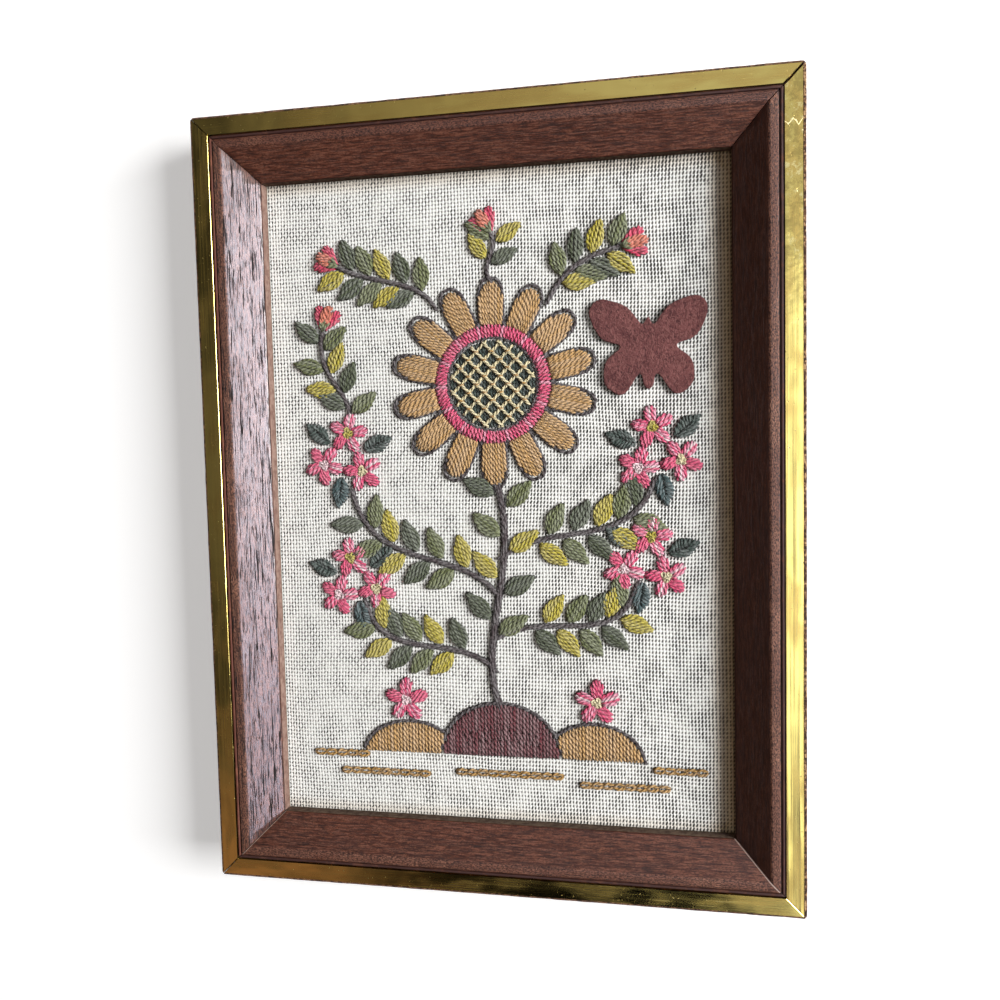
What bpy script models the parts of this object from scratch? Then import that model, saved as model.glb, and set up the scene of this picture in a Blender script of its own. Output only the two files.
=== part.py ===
# A framed crewel embroidery: linen worked in wool, with a felt figure, in a mitred wood frame edged with brass.
# The frame hangs upright. Its face looks along -Y, its back lies at Y = 0, and Z points up.
# The origin is on the back of the top rail, at the middle, where a wall holds the frame.

import math
from collections import namedtuple

import bmesh
import bpy
from mathutils import Vector
from mathutils.geometry import delaunay_2d_cdt

# Every size below is in millimetres, and MM turns it into metres
MM = 0.001

# Driving sizes
SIGHT_WIDTH = 127.0
SIGHT_HEIGHT = 178.0
RAIL_WIDTH = 17.6
FRAME_DEPTH = 20.0
LINEN_DEPTH = 10.1
GAP = 0.3

# Moulding, each width measured inwards from the rail's outer edge and each depth from the frame's face
RIM_WIDTH = 0.5
RIM_DEPTH = 0.15
BRASS_WIDTH = 4.3
BRASS_THICKNESS = 1.2
BRASS_ARRIS = 0.15
BEAD_WIDTH = 0.7
BEAD_STEPS = 3
QUIRK_WIDTH = 0.35
QUIRK_DEPTH = 0.8
LIP_WIDTH = 2.05
LIP_ROUND = 0.25
SLOPE_DROP = 5.8
RABBET_WIDTH = 5.0

# Sheet goods behind and on the linen
LINEN_THICKNESS = 1.0
LINEN_TUCK = 4.4
BOARD_THICKNESS = 3.0
BOARD_TUCK = 4.5
FELT_THICKNESS = 1.2
FELT_ARRIS = 0.25

# Worked out from the sizes above
OUTER_WIDTH = SIGHT_WIDTH + 2 * RAIL_WIDTH
OUTER_HEIGHT = SIGHT_HEIGHT + 2 * RAIL_WIDTH
BACK_LAND = RAIL_WIDTH - RABBET_WIDTH
BRASS_MARGIN = RIM_WIDTH + GAP
CENTRE_Z = BACK_LAND / 2 - OUTER_HEIGHT / 2
LINEN_FACE_Y = LINEN_DEPTH - FRAME_DEPTH

# The raised embroidery, placed in x and z from the middle of the sight opening
Stem = namedtuple("Stem", "name start pull_a pull_b end width")
STEMS = [
    Stem("trunk", (0, -57), (-7, -38), (8, -16), (0, 6), 2.6),
    Stem("left_low", (-1.5, -46), (-14, -36), (-33, -46), (-38, -29), 1.9),
    Stem("left_high", (-0.5, -25), (-12, -12), (-36, -20), (-41, 3), 1.9),
    Stem("left_tall", (-43, 20), (-36, 30), (-53, 34), (-48, 49), 1.6),
    Stem("right_low", (-0.5, -38), (13, -29), (33, -41), (38, -23), 1.9),
    Stem("right_high", (2, -15), (15, -5), (36, -14), (43, 5), 1.9),
    Stem("top_left", (-16, 54), (-22, 62), (-34, 60), (-44, 66), 1.6),
    Stem("top_middle", (0, 60), (-3, 64), (3, 68), (0, 73), 1.6),
    Stem("top_right", (16, 54), (20, 62), (26, 65), (36, 67), 1.6),
]

# Leaf pairs stand along a stretch of a stem, given as shares of its length
Spray = namedtuple("Spray", "stem first last pairs leaf_length")
SPRAYS = [
    Spray("trunk", 0.36, 0.90, 4, 9.8),
    Spray("left_low", 0.22, 0.80, 5, 9.4),
    Spray("left_high", 0.22, 0.80, 5, 9.6),
    Spray("left_tall", 0.20, 0.86, 4, 9.0),
    Spray("right_low", 0.26, 0.80, 5, 9.4),
    Spray("right_high", 0.24, 0.80, 5, 9.6),
    Spray("top_left", 0.18, 0.86, 5, 9.0),
    Spray("top_middle", 0.36, 0.78, 2, 8.2),
    Spray("top_right", 0.22, 0.84, 4, 9.0),
]
LEAF_ANGLE = math.radians(52)
LEAF_SLENDER = 0.56
LEAF_STATIONS = (0.2, 0.5, 0.8)
LEAF_STAGGER = 0.03
LEAF_CLEARANCE = 0.6

# The large flower has a laced middle, a ring and long petals
GREAT_FLOWER = (0, 32)
GREAT_DISC_RADIUS = 12.5
GREAT_RING_RADIUS = 16.0
GREAT_PETALS = 14
GREAT_PETAL_LENGTH = 12.4
GREAT_PETAL_WIDTH = 9.4

# Small flowers, each with a knot at its heart. A cluster has three, with dark leaves between them.
Cluster = namedtuple("Cluster", "name x z turn")
CLUSTERS = [
    Cluster("left_high", -43, 13, 80),
    Cluster("left_low", -41, -22, 100),
    Cluster("right_high", 44, 13, 100),
    Cluster("right_low", 41, -16, 80),
]
CLUSTER_SPREAD = 6.6
Blossom = namedtuple("Blossom", "x z petal_length turn")
GROUND_BLOSSOMS = [
    Blossom(-27, -56, 5.2, 90),
    Blossom(27, -55, 5.2, 90),
]
BLOSSOM_PETALS = 5
BLOSSOM_PETAL_LENGTH = 4.6
BLOSSOM_HEART = 1.4
HEART_SIDES = 6
PETAL_WIDTH_SHARE = 0.84
CLUSTER_BLOSSOMS = 3
COLLAR_START = 6.0
COLLAR_LEAF_LENGTH = 8.6

# Buds of three petals at the tips of the top stems
BUD_STEMS = ["top_left", "top_middle", "top_right", "left_tall"]
BUD_PETAL_LENGTH = 6.4
BUD_WIDTH_SHARE = 0.67
BUD_FAN = math.radians(30)

# A petal's half width along its length, as shares, and where it is highest
Station = namedtuple("Station", "along width")
PETAL_STATIONS = (Station(0.0, 0.34), Station(0.45, 0.96), Station(0.82, 0.74))
PETAL_CROWN = 0.55

# Hillocks that the spray grows from, and chain-stitched lines of ground
Hillock = namedtuple("Hillock", "name x z half_width rise")
HILLOCKS = [
    Hillock("middle", 0, -71, 17, 15),
    Hillock("left", -26, -72, 14, 10),
    Hillock("right", 26, -72, 14, 11),
]
HILLOCK_STEPS = 12
HILLOCK_CROWN = 0.4
GroundLine = namedtuple("GroundLine", "x z length")
GROUND_LINES = [
    GroundLine(-47, -72, 16),
    GroundLine(-34, -77, 26),
    GroundLine(2, -76, 30),
    GroundLine(34, -78, 24),
    GroundLine(49, -73, 14),
]
GROUND_LINE_WIDTH = 2.2
GROUND_LINE_STEPS = 4

# How far each kind of stitching stands off the linen
HEIGHTS = {
    "stem": 0.9,
    "leaf": 1.3,
    "disc": 0.9,
    "ring": 1.3,
    "petal": 1.3,
    "blossom": 1.5,
    "heart": 2.0,
    "hillock": 1.1,
    "ground": 0.8,
}
RING_SCALES = (1.0, 0.86, 0.45)
STEM_STEPS = 10
CREST_INSET = 0.12
DISC_SIDES = 22
MERGE_DISTANCE = 0.05
TINY = 1e-6

# The felt figure: its right half, from the head down to the tail
FELT_CENTRE = (42, 40)
WING_POINTS = [
    (0.0, 8.2),
    (1.7, 6.4),
    (5.6, 11.0),
    (12.6, 13.2),
    (15.4, 9.6),
    (12.4, 3.0),
    (7.4, 0.6),
    (11.2, -3.2),
    (11.4, -9.2),
    (6.8, -12.0),
    (2.4, -6.6),
    (1.2, -9.6),
    (0.0, -10.6),
]
FELT_STEPS = 3

# Finishes: colour, roughness, metallic
FINISHES = {
    "wood": ((0.085, 0.035, 0.022), 0.5, 0.0),
    "brass": ((0.55, 0.42, 0.13), 0.3, 1.0),
    "linen": ((0.75, 0.72, 0.64), 0.9, 0.0),
    "felt": ((0.16, 0.06, 0.055), 1.0, 0.0),
    "board": ((0.42, 0.33, 0.22), 0.9, 0.0),
}


def clear_scene():
    for item in list(bpy.data.objects):
        bpy.data.objects.remove(item, do_unlink=True)


def finish_material(name):
    colour, roughness, metallic = FINISHES[name]
    material = bpy.data.materials.new(name)
    material.use_nodes = True
    shader = material.node_tree.nodes["Principled BSDF"]
    shader.inputs["Base Color"].default_value = (*colour, 1.0)
    shader.inputs["Roughness"].default_value = roughness
    shader.inputs["Metallic"].default_value = metallic
    return material


def add_solid(name, points, faces, material, location=(0, 0, 0), turn=0.0):
    """Makes a closed solid from points in millimetres, turned about Y and placed."""
    mesh = bpy.data.meshes.new(name)
    mesh.from_pydata([Vector(p) * MM for p in points], [], faces)
    shape = bmesh.new()
    shape.from_mesh(mesh)
    bmesh.ops.recalc_face_normals(shape, faces=shape.faces)
    shape.to_mesh(mesh)
    shape.free()
    mesh.materials.append(material)
    solid = bpy.data.objects.new(name, mesh)
    solid.location = Vector(location) * MM
    solid.rotation_euler = (0, turn, 0)
    bpy.context.collection.objects.link(solid)
    return solid


def at_angle(angle):
    return Vector((math.cos(angle), math.sin(angle)))


def around(count):
    """Unit directions, evenly spaced round a full turn."""
    return [at_angle(2 * math.pi * i / count) for i in range(count)]


# Frame

ProfilePoint = namedtuple("ProfilePoint", "inset depth")
Side = namedtuple("Side", "name length location turn")


def wood_profile():
    """The moulding's section, from the outer back corner round to the rabbet."""
    ledge_depth = BRASS_THICKNESS + GAP
    bead = BRASS_MARGIN + BRASS_WIDTH + GAP
    quirk = bead + BEAD_WIDTH
    lip = quirk + QUIRK_WIDTH
    lip_end = lip + LIP_WIDTH
    bead_radius = BEAD_WIDTH / 2
    bead_round = []
    for i in range(BEAD_STEPS + 1):
        arc = at_angle(math.pi * (1 - i / BEAD_STEPS)) * bead_radius
        bead_round.append(ProfilePoint(bead + bead_radius + arc.x, bead_radius - arc.y))
    return [
        ProfilePoint(0, FRAME_DEPTH),
        ProfilePoint(0, RIM_DEPTH),
        ProfilePoint(RIM_WIDTH, RIM_DEPTH),
        ProfilePoint(RIM_WIDTH, ledge_depth),
        ProfilePoint(bead, ledge_depth),
        *bead_round,
        ProfilePoint(quirk, QUIRK_DEPTH),
        ProfilePoint(lip, QUIRK_DEPTH),
        ProfilePoint(lip, LIP_ROUND),
        ProfilePoint(lip + LIP_ROUND, 0),
        ProfilePoint(lip_end - 2 * LIP_ROUND, 0),
        ProfilePoint(lip_end, LIP_ROUND),
        ProfilePoint(RAIL_WIDTH - LIP_ROUND, SLOPE_DROP),
        ProfilePoint(RAIL_WIDTH, SLOPE_DROP + LIP_ROUND),
        ProfilePoint(RAIL_WIDTH, LINEN_DEPTH - GAP),
        ProfilePoint(BACK_LAND, LINEN_DEPTH - GAP),
        ProfilePoint(BACK_LAND, FRAME_DEPTH),
    ]


def brass_profile():
    """The strip's section, with its two front arrises taken off."""
    outer = BRASS_MARGIN
    inner = BRASS_MARGIN + BRASS_WIDTH
    return [
        ProfilePoint(outer, BRASS_THICKNESS),
        ProfilePoint(outer, BRASS_ARRIS),
        ProfilePoint(outer + BRASS_ARRIS, 0),
        ProfilePoint(inner - BRASS_ARRIS, 0),
        ProfilePoint(inner, BRASS_ARRIS),
        ProfilePoint(inner, BRASS_THICKNESS),
    ]


def mitred_length(name, profile, outer_length, material, location, turn):
    """Runs a section along one side of the frame and mitres both ends."""
    half = outer_length / 2 - GAP / 2 * math.sqrt(2)
    count = len(profile)
    points = []
    for side in (-1, 1):
        for point in profile:
            points.append((side * (half - point.inset), point.depth - FRAME_DEPTH, point.inset))
    faces = [list(range(count)), list(range(2 * count - 1, count - 1, -1))]
    for i in range(count):
        j = (i + 1) % count
        faces.append([i, j, count + j, count + i])
    return add_solid(name, points, faces, material, location, turn)


def add_frame():
    wood = finish_material("wood")
    brass = finish_material("brass")
    half_width = OUTER_WIDTH / 2
    half_height = OUTER_HEIGHT / 2
    sides = [
        Side("bottom", OUTER_WIDTH, (0, 0, CENTRE_Z - half_height), 0),
        Side("left", OUTER_HEIGHT, (-half_width, 0, CENTRE_Z), math.pi / 2),
        Side("top", OUTER_WIDTH, (0, 0, CENTRE_Z + half_height), math.pi),
        Side("right", OUTER_HEIGHT, (half_width, 0, CENTRE_Z), -math.pi / 2),
    ]
    for side in sides:
        mitred_length("rail_" + side.name, wood_profile(), side.length, wood, side.location, side.turn)
        mitred_length("brass_" + side.name, brass_profile(), side.length, brass, side.location, side.turn)


# Embroidered shapes, as outlines and heights in x and z

def curve_point(stem, share):
    """A point on a stem's curve, and the direction that the curve runs in there."""
    a, b, c, d = (Vector(p) for p in (stem.start, stem.pull_a, stem.pull_b, stem.end))
    rest = 1 - share
    place = a * rest**3 + b * 3 * rest**2 * share + c * 3 * rest * share**2 + d * share**3
    heading = (b - a) * rest**2 + (c - b) * 2 * rest * share + (d - c) * share**2
    return place, heading.normalized()


def turned(direction, angle):
    return Vector((
        direction.x * math.cos(angle) - direction.y * math.sin(angle),
        direction.x * math.sin(angle) + direction.y * math.cos(angle),
    ))


class Pad:
    """A raised shape that is highest at its middle and falls to nothing at its outline."""

    def __init__(self, centre, outline, height):
        self.centre = Vector(centre)
        self.outline = outline
        self.height = height
        self.reach = max((p - self.centre).length for p in outline)

    def lines(self):
        for scale in RING_SCALES:
            ring = [self.centre + (p - self.centre) * scale for p in self.outline]
            yield ring, True

    def rise(self, point):
        arm = point - self.centre
        distance = arm.length
        if distance >= self.reach:
            return 0.0
        if distance < TINY:
            return self.height
        for a, b in zip(self.outline, self.outline[1:] + self.outline[:1]):
            edge = b - a
            across = arm.cross(edge)
            if abs(across) < TINY:
                continue
            from_centre = a - self.centre
            along_ray = from_centre.cross(edge) / across
            along_edge = from_centre.cross(arm) / across
            if along_ray > 0 and -TINY <= along_edge <= 1 + TINY:
                share = 1 / along_ray
                return self.height * math.sqrt(max(0.0, 1 - share * share))
        return 0.0


class Ridge:
    """A raised line of stitches that follows a stem or a line of ground."""

    def __init__(self, spine, width, height):
        self.spine = spine
        self.half_width = width / 2
        self.height = height

    def lines(self):
        left = []
        right = []
        for i, point in enumerate(self.spine):
            heading = (self.spine[min(i + 1, len(self.spine) - 1)] - self.spine[max(i - 1, 0)]).normalized()
            square = Vector((-heading.y, heading.x)) * self.half_width
            left.append(point + square)
            right.append(point - square)
        yield left + right[::-1], True
        start = self.spine[0].lerp(self.spine[1], CREST_INSET)
        end = self.spine[-1].lerp(self.spine[-2], CREST_INSET)
        yield [start] + self.spine[1:-1] + [end], False

    def rise(self, point):
        nearest = self.half_width
        for a, b in zip(self.spine, self.spine[1:]):
            edge = b - a
            share = min(1.0, max(0.0, (point - a).dot(edge) / edge.length_squared))
            nearest = min(nearest, (point - a - edge * share).length)
        share = nearest / self.half_width
        return self.height * math.sqrt(max(0.0, 1 - share * share))


class Band:
    """A raised ring of stitches."""

    def __init__(self, centre, inner, outer, height):
        self.centre = Vector(centre)
        self.inner = inner
        self.outer = outer
        self.height = height

    def lines(self):
        for radius in (self.inner, (self.inner + self.outer) / 2, self.outer):
            yield [self.centre + direction * radius for direction in around(DISC_SIDES)], True

    def rise(self, point):
        half_width = (self.outer - self.inner) / 2
        share = abs((point - self.centre).length - self.inner - half_width) / half_width
        return self.height * math.sqrt(max(0.0, 1 - share * share))


def leaf_pad(base, direction, length, height):
    """A pointed leaf, widest at its middle."""
    width = length * LEAF_SLENDER
    square = Vector((-direction.y, direction.x))
    left = []
    right = []
    for share in LEAF_STATIONS:
        middle = base + direction * length * share
        half = square * width / 2 * math.sin(math.pi * share)
        left.append(middle + half)
        right.append(middle - half)
    outline = [base] + right + [base + direction * length] + left[::-1]
    return Pad(base + direction * length / 2, outline, height)


def petal_pad(base, direction, length, width, height):
    """A petal, narrow at its foot and round at its tip."""
    square = Vector((-direction.y, direction.x))
    left = []
    right = []
    for station in PETAL_STATIONS:
        middle = base + direction * length * station.along
        half = square * width / 2 * station.width
        left.append(middle + half)
        right.append(middle - half)
    outline = right + [base + direction * length] + left[::-1]
    return Pad(base + direction * length * PETAL_CROWN, outline, height)


def round_pad(centre, radius, sides, height):
    outline = [Vector(centre) + direction * radius for direction in around(sides)]
    return Pad(centre, outline, height)


def hillock_pad(hillock, height):
    """A low mound with a straight foot."""
    foot = Vector((hillock.x, hillock.z))
    outline = []
    for i in range(HILLOCK_STEPS + 1):
        direction = at_angle(math.pi * i / HILLOCK_STEPS)
        outline.append(foot + Vector((direction.x * hillock.half_width, direction.y * hillock.rise)))
    return Pad(foot + Vector((0, hillock.rise * HILLOCK_CROWN)), outline, height)


def spray_pads():
    stems = {stem.name: stem for stem in STEMS}
    for spray in SPRAYS:
        stem = stems[spray.stem]
        for i in range(spray.pairs):
            step = i / (spray.pairs - 1)
            share = spray.first + (spray.last - spray.first) * step
            for side in (1, -1):
                place, heading = curve_point(stem, share + side * LEAF_STAGGER)
                direction = turned(heading, side * LEAF_ANGLE)
                base = place + direction * stem.width * LEAF_CLEARANCE
                yield leaf_pad(base, direction, spray.leaf_length, HEIGHTS["leaf"])


def bud_pads():
    stems = {stem.name: stem for stem in STEMS}
    width = BUD_PETAL_LENGTH * BUD_WIDTH_SHARE
    for name in BUD_STEMS:
        tip, heading = curve_point(stems[name], 1.0)
        for i in (-1, 1, 0):
            direction = turned(heading, i * BUD_FAN)
            yield petal_pad(tip, direction, BUD_PETAL_LENGTH, width, HEIGHTS["blossom"])


def great_flower_pads():
    centre = Vector(GREAT_FLOWER)
    for i in range(GREAT_PETALS):
        direction = at_angle(math.pi / 2 + 2 * math.pi * i / GREAT_PETALS)
        base = centre + direction * GREAT_RING_RADIUS
        yield petal_pad(base, direction, GREAT_PETAL_LENGTH, GREAT_PETAL_WIDTH, HEIGHTS["petal"])
    yield Band(centre, GREAT_DISC_RADIUS, GREAT_RING_RADIUS, HEIGHTS["ring"])
    yield round_pad(centre, GREAT_DISC_RADIUS, DISC_SIDES, HEIGHTS["disc"])


def cluster_blossoms(cluster):
    for i in range(CLUSTER_BLOSSOMS):
        angle = cluster.turn + 360 / CLUSTER_BLOSSOMS * i
        place = Vector((cluster.x, cluster.z)) + at_angle(math.radians(angle)) * CLUSTER_SPREAD
        yield Blossom(place.x, place.y, BLOSSOM_PETAL_LENGTH, angle)


def collar_pads(cluster):
    centre = Vector((cluster.x, cluster.z))
    for i in range(CLUSTER_BLOSSOMS):
        direction = at_angle(math.radians(cluster.turn + 360 / CLUSTER_BLOSSOMS * (i + 0.5)))
        yield leaf_pad(centre + direction * COLLAR_START, direction, COLLAR_LEAF_LENGTH, HEIGHTS["leaf"])


def blossom_pads(blossom):
    centre = Vector((blossom.x, blossom.z))
    width = blossom.petal_length * PETAL_WIDTH_SHARE
    for i in range(BLOSSOM_PETALS):
        direction = at_angle(math.radians(blossom.turn) + 2 * math.pi * i / BLOSSOM_PETALS)
        base = centre + direction * BLOSSOM_HEART
        yield petal_pad(base, direction, blossom.petal_length, width, HEIGHTS["blossom"])
    yield round_pad(centre, BLOSSOM_HEART, HEART_SIDES, HEIGHTS["heart"])


def embroidered_shapes():
    shapes = []
    for stem in STEMS:
        spine = [curve_point(stem, i / STEM_STEPS)[0] for i in range(STEM_STEPS + 1)]
        shapes.append(Ridge(spine, stem.width, HEIGHTS["stem"]))
    for line in GROUND_LINES:
        start = Vector((line.x - line.length / 2, line.z))
        end = start + Vector((line.length, 0))
        spine = [start.lerp(end, i / GROUND_LINE_STEPS) for i in range(GROUND_LINE_STEPS + 1)]
        shapes.append(Ridge(spine, GROUND_LINE_WIDTH, HEIGHTS["ground"]))
    for hillock in HILLOCKS:
        shapes.append(hillock_pad(hillock, HEIGHTS["hillock"]))
    shapes.extend(spray_pads())
    shapes.extend(great_flower_pads())
    shapes.extend(bud_pads())
    blossoms = list(GROUND_BLOSSOMS)
    for cluster in CLUSTERS:
        shapes.extend(collar_pads(cluster))
        blossoms.extend(cluster_blossoms(cluster))
    for blossom in blossoms:
        shapes.extend(blossom_pads(blossom))
    return shapes


# Cloth and board

def add_linen():
    """One sheet of linen whose face is raised where it is embroidered."""
    half_width = SIGHT_WIDTH / 2 + LINEN_TUCK
    half_height = SIGHT_HEIGHT / 2 + LINEN_TUCK
    corners = [
        Vector((-half_width, -half_height)),
        Vector((half_width, -half_height)),
        Vector((half_width, half_height)),
        Vector((-half_width, half_height)),
    ]
    flat = list(corners)
    edges = [(0, 1), (1, 2), (2, 3), (3, 0)]
    shapes = embroidered_shapes()
    for shape in shapes:
        for line, closed in shape.lines():
            first = len(flat)
            flat.extend(line)
            edges.extend((first + i, first + i + 1) for i in range(len(line) - 1))
            if closed:
                edges.append((first + len(line) - 1, first))
    face_points, _, triangles, _, _, _ = delaunay_2d_cdt(flat, edges, [], 0, MERGE_DISTANCE)
    points = []
    for point in face_points:
        rise = max(shape.rise(point) for shape in shapes)
        points.append((point.x, -rise, point.y))
    order = {}
    for index, point in enumerate(face_points):
        for corner_index, corner in enumerate(corners):
            if (point - corner).length < MERGE_DISTANCE:
                order[corner_index] = index
    front = [order[i] for i in range(4)]
    back = []
    for corner in corners:
        back.append(len(points))
        points.append((corner.x, LINEN_THICKNESS, corner.y))
    faces = [list(triangle) for triangle in triangles]
    faces.append(back[::-1])
    for i in range(4):
        j = (i + 1) % 4
        faces.append([front[j], front[i], back[i], back[j]])
    location = (0, LINEN_FACE_Y, CENTRE_Z)
    return add_solid("linen", points, faces, finish_material("linen"), location)


def add_board():
    half_width = SIGHT_WIDTH / 2 + BOARD_TUCK
    half_height = SIGHT_HEIGHT / 2 + BOARD_TUCK
    points = []
    for y in (0, BOARD_THICKNESS):
        for x, z in ((-1, -1), (1, -1), (1, 1), (-1, 1)):
            points.append((x * half_width, y, z * half_height))
    faces = [[0, 1, 2, 3], [7, 6, 5, 4], [0, 4, 5, 1], [1, 5, 6, 2], [2, 6, 7, 3], [3, 7, 4, 0]]
    location = (0, LINEN_FACE_Y + LINEN_THICKNESS + GAP, CENTRE_Z)
    return add_solid("backing_board", points, faces, finish_material("board"), location)


def smooth_outline(points, steps):
    """A smooth closed outline through the points."""
    outline = []
    count = len(points)
    for i in range(count):
        a, b, c, d = (Vector(points[(i + k) % count]) for k in (-1, 0, 1, 2))
        for step in range(steps):
            t = step / steps
            outline.append(0.5 * (
                2 * b + (c - a) * t + (2 * a - 5 * b + 4 * c - d) * t**2 + (3 * b - a - 3 * c + d) * t**3
            ))
    return outline


def add_felt():
    """The felt figure, cut out flat, with soft arrises."""
    mirrored = [(-x, z) for x, z in WING_POINTS[-2:0:-1]]
    outline = smooth_outline(WING_POINTS + mirrored, FELT_STEPS)
    count = len(outline)
    levels = [
        (0, FELT_ARRIS),
        (FELT_ARRIS, 0),
        (FELT_THICKNESS - FELT_ARRIS, 0),
        (FELT_THICKNESS, FELT_ARRIS),
    ]
    points = []
    for depth, inset in levels:
        for i, point in enumerate(outline):
            heading = (outline[(i + 1) % count] - outline[i - 1]).normalized()
            inwards = Vector((heading.y, -heading.x)) * inset
            points.append((point.x + inwards.x, depth, point.y + inwards.y))
    faces = [list(range(count)), list(range(4 * count - 1, 3 * count - 1, -1))]
    for level in range(3):
        for i in range(count):
            j = (i + 1) % count
            a = level * count
            b = a + count
            faces.append([a + i, b + i, b + j, a + j])
    x, z = FELT_CENTRE
    location = (x, LINEN_FACE_Y - GAP - FELT_THICKNESS, CENTRE_Z + z)
    return add_solid("felt_butterfly", points, faces, finish_material("felt"), location)


clear_scene()
add_frame()
add_linen()
add_board()
add_felt()
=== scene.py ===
# A framed crewel embroidery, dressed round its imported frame.
# Sizes are in millimetres, and MM turns them into metres.
# The face looks along -Y, Z is up and the back lies at Y = 0.
# Stitches are placed by x and z from the middle of the sight opening, and by their height off the linen.

import math
import random
from collections import namedtuple
from functools import partial, partialmethod

import bmesh
import bpy
import numpy as np
from mathutils import Matrix, Vector, noise


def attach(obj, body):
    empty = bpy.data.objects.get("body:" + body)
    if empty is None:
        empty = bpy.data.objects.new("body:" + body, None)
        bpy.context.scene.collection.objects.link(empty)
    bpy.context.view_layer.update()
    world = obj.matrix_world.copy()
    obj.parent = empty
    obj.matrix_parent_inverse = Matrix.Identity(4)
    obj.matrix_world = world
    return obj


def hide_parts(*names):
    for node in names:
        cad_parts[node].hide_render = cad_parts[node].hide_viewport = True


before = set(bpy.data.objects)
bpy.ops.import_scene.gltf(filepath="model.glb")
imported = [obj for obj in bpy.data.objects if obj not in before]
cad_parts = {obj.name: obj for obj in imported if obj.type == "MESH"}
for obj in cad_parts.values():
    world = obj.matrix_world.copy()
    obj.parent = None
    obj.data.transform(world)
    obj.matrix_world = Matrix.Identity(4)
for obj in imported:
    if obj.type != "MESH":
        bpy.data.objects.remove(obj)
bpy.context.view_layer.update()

MM = 0.001
BODY = "root"

# Frame and cloth, as in the part
SIGHT_WIDTH = 127.0
SIGHT_HEIGHT = 178.0
RAIL_WIDTH = 17.6
FRAME_DEPTH = 20.0
LINEN_DEPTH = 10.1
GAP = 0.3
RIM_WIDTH = 0.5
RIM_DEPTH = 0.15
BRASS_WIDTH = 4.3
BRASS_THICKNESS = 1.2
BEAD_WIDTH = 0.7
QUIRK_WIDTH = 0.35
QUIRK_DEPTH = 0.8
LIP_WIDTH = 2.05
SLOPE_DROP = 5.8
RABBET_WIDTH = 5.0
LINEN_TUCK = 4.4
LINEN_THICKNESS = 1.0
FELT_THICKNESS = 1.2
OUTER_WIDTH = SIGHT_WIDTH + 2 * RAIL_WIDTH
OUTER_HEIGHT = SIGHT_HEIGHT + 2 * RAIL_WIDTH
BACK_LAND = RAIL_WIDTH - RABBET_WIDTH
BRASS_MARGIN = RIM_WIDTH + GAP
CENTRE_Z = BACK_LAND / 2 - OUTER_HEIGHT / 2
LINEN_FACE_Y = LINEN_DEPTH - FRAME_DEPTH

# The spray, as in the part
Stem = namedtuple("Stem", "name start pull_a pull_b end width")
STEMS = [
    Stem("trunk", (0, -57), (-7, -38), (8, -16), (0, 6), 2.6),
    Stem("left_low", (-1.5, -46), (-14, -36), (-33, -46), (-38, -29), 1.9),
    Stem("left_high", (-0.5, -25), (-12, -12), (-36, -20), (-41, 3), 1.9),
    Stem("left_tall", (-43, 20), (-36, 30), (-53, 34), (-48, 49), 1.6),
    Stem("right_low", (-0.5, -38), (13, -29), (33, -41), (38, -23), 1.9),
    Stem("right_high", (2, -15), (15, -5), (36, -14), (43, 5), 1.9),
    Stem("top_left", (-16, 54), (-22, 62), (-34, 60), (-44, 66), 1.6),
    Stem("top_middle", (0, 60), (-3, 64), (3, 68), (0, 73), 1.6),
    Stem("top_right", (16, 54), (20, 62), (26, 65), (36, 67), 1.6),
]
STEM_NAMED = {stem.name: stem for stem in STEMS}
STEM_STEPS = 24
Spray = namedtuple("Spray", "stem first last pairs leaf_length")
SPRAYS = [
    Spray("trunk", 0.36, 0.90, 4, 9.8),
    Spray("left_low", 0.22, 0.80, 5, 9.4),
    Spray("left_high", 0.22, 0.80, 5, 9.6),
    Spray("left_tall", 0.20, 0.86, 4, 9.0),
    Spray("right_low", 0.26, 0.80, 5, 9.4),
    Spray("right_high", 0.24, 0.80, 5, 9.6),
    Spray("top_left", 0.18, 0.86, 5, 9.0),
    Spray("top_middle", 0.36, 0.78, 2, 8.2),
    Spray("top_right", 0.22, 0.84, 4, 9.0),
]
LEAF_ANGLE = math.radians(52)
LEAF_SLENDER = 0.56
LEAF_STAGGER = 0.03
LEAF_CLEARANCE = 0.6
GREAT_FLOWER = (0, 32)
GREAT_DISC_RADIUS = 12.5
GREAT_RING_RADIUS = 16.0
GREAT_PETALS = 14
GREAT_PETAL_LENGTH = 12.4
GREAT_PETAL_WIDTH = 9.4
Cluster = namedtuple("Cluster", "name x z turn")
CLUSTERS = [
    Cluster("left_high", -43, 13, 80),
    Cluster("left_low", -41, -22, 100),
    Cluster("right_high", 44, 13, 100),
    Cluster("right_low", 41, -16, 80),
]
CLUSTER_SPREAD = 6.6
CLUSTER_BLOSSOMS = 3
Blossom = namedtuple("Blossom", "x z petal_length turn")
GROUND_BLOSSOMS = [
    Blossom(-27, -56, 5.2, 90),
    Blossom(27, -55, 5.2, 90),
]
BLOSSOM_PETALS = 5
BLOSSOM_PETAL_LENGTH = 4.6
BLOSSOM_HEART = 1.4
PETAL_WIDTH_SHARE = 0.84
COLLAR_START = 6.0
COLLAR_LEAF_LENGTH = 8.6
BUD_STEMS = ["top_left", "top_middle", "top_right", "left_tall"]
BUD_PETAL_LENGTH = 6.4
BUD_WIDTH_SHARE = 0.67
BUD_FAN = math.radians(30)
Hillock = namedtuple("Hillock", "name x z half_width rise")
HILLOCKS = [
    Hillock("middle", 0, -71, 17, 15),
    Hillock("left", -26, -72, 14, 10),
    Hillock("right", 26, -72, 14, 11),
]
GroundLine = namedtuple("GroundLine", "x z length")
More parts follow.
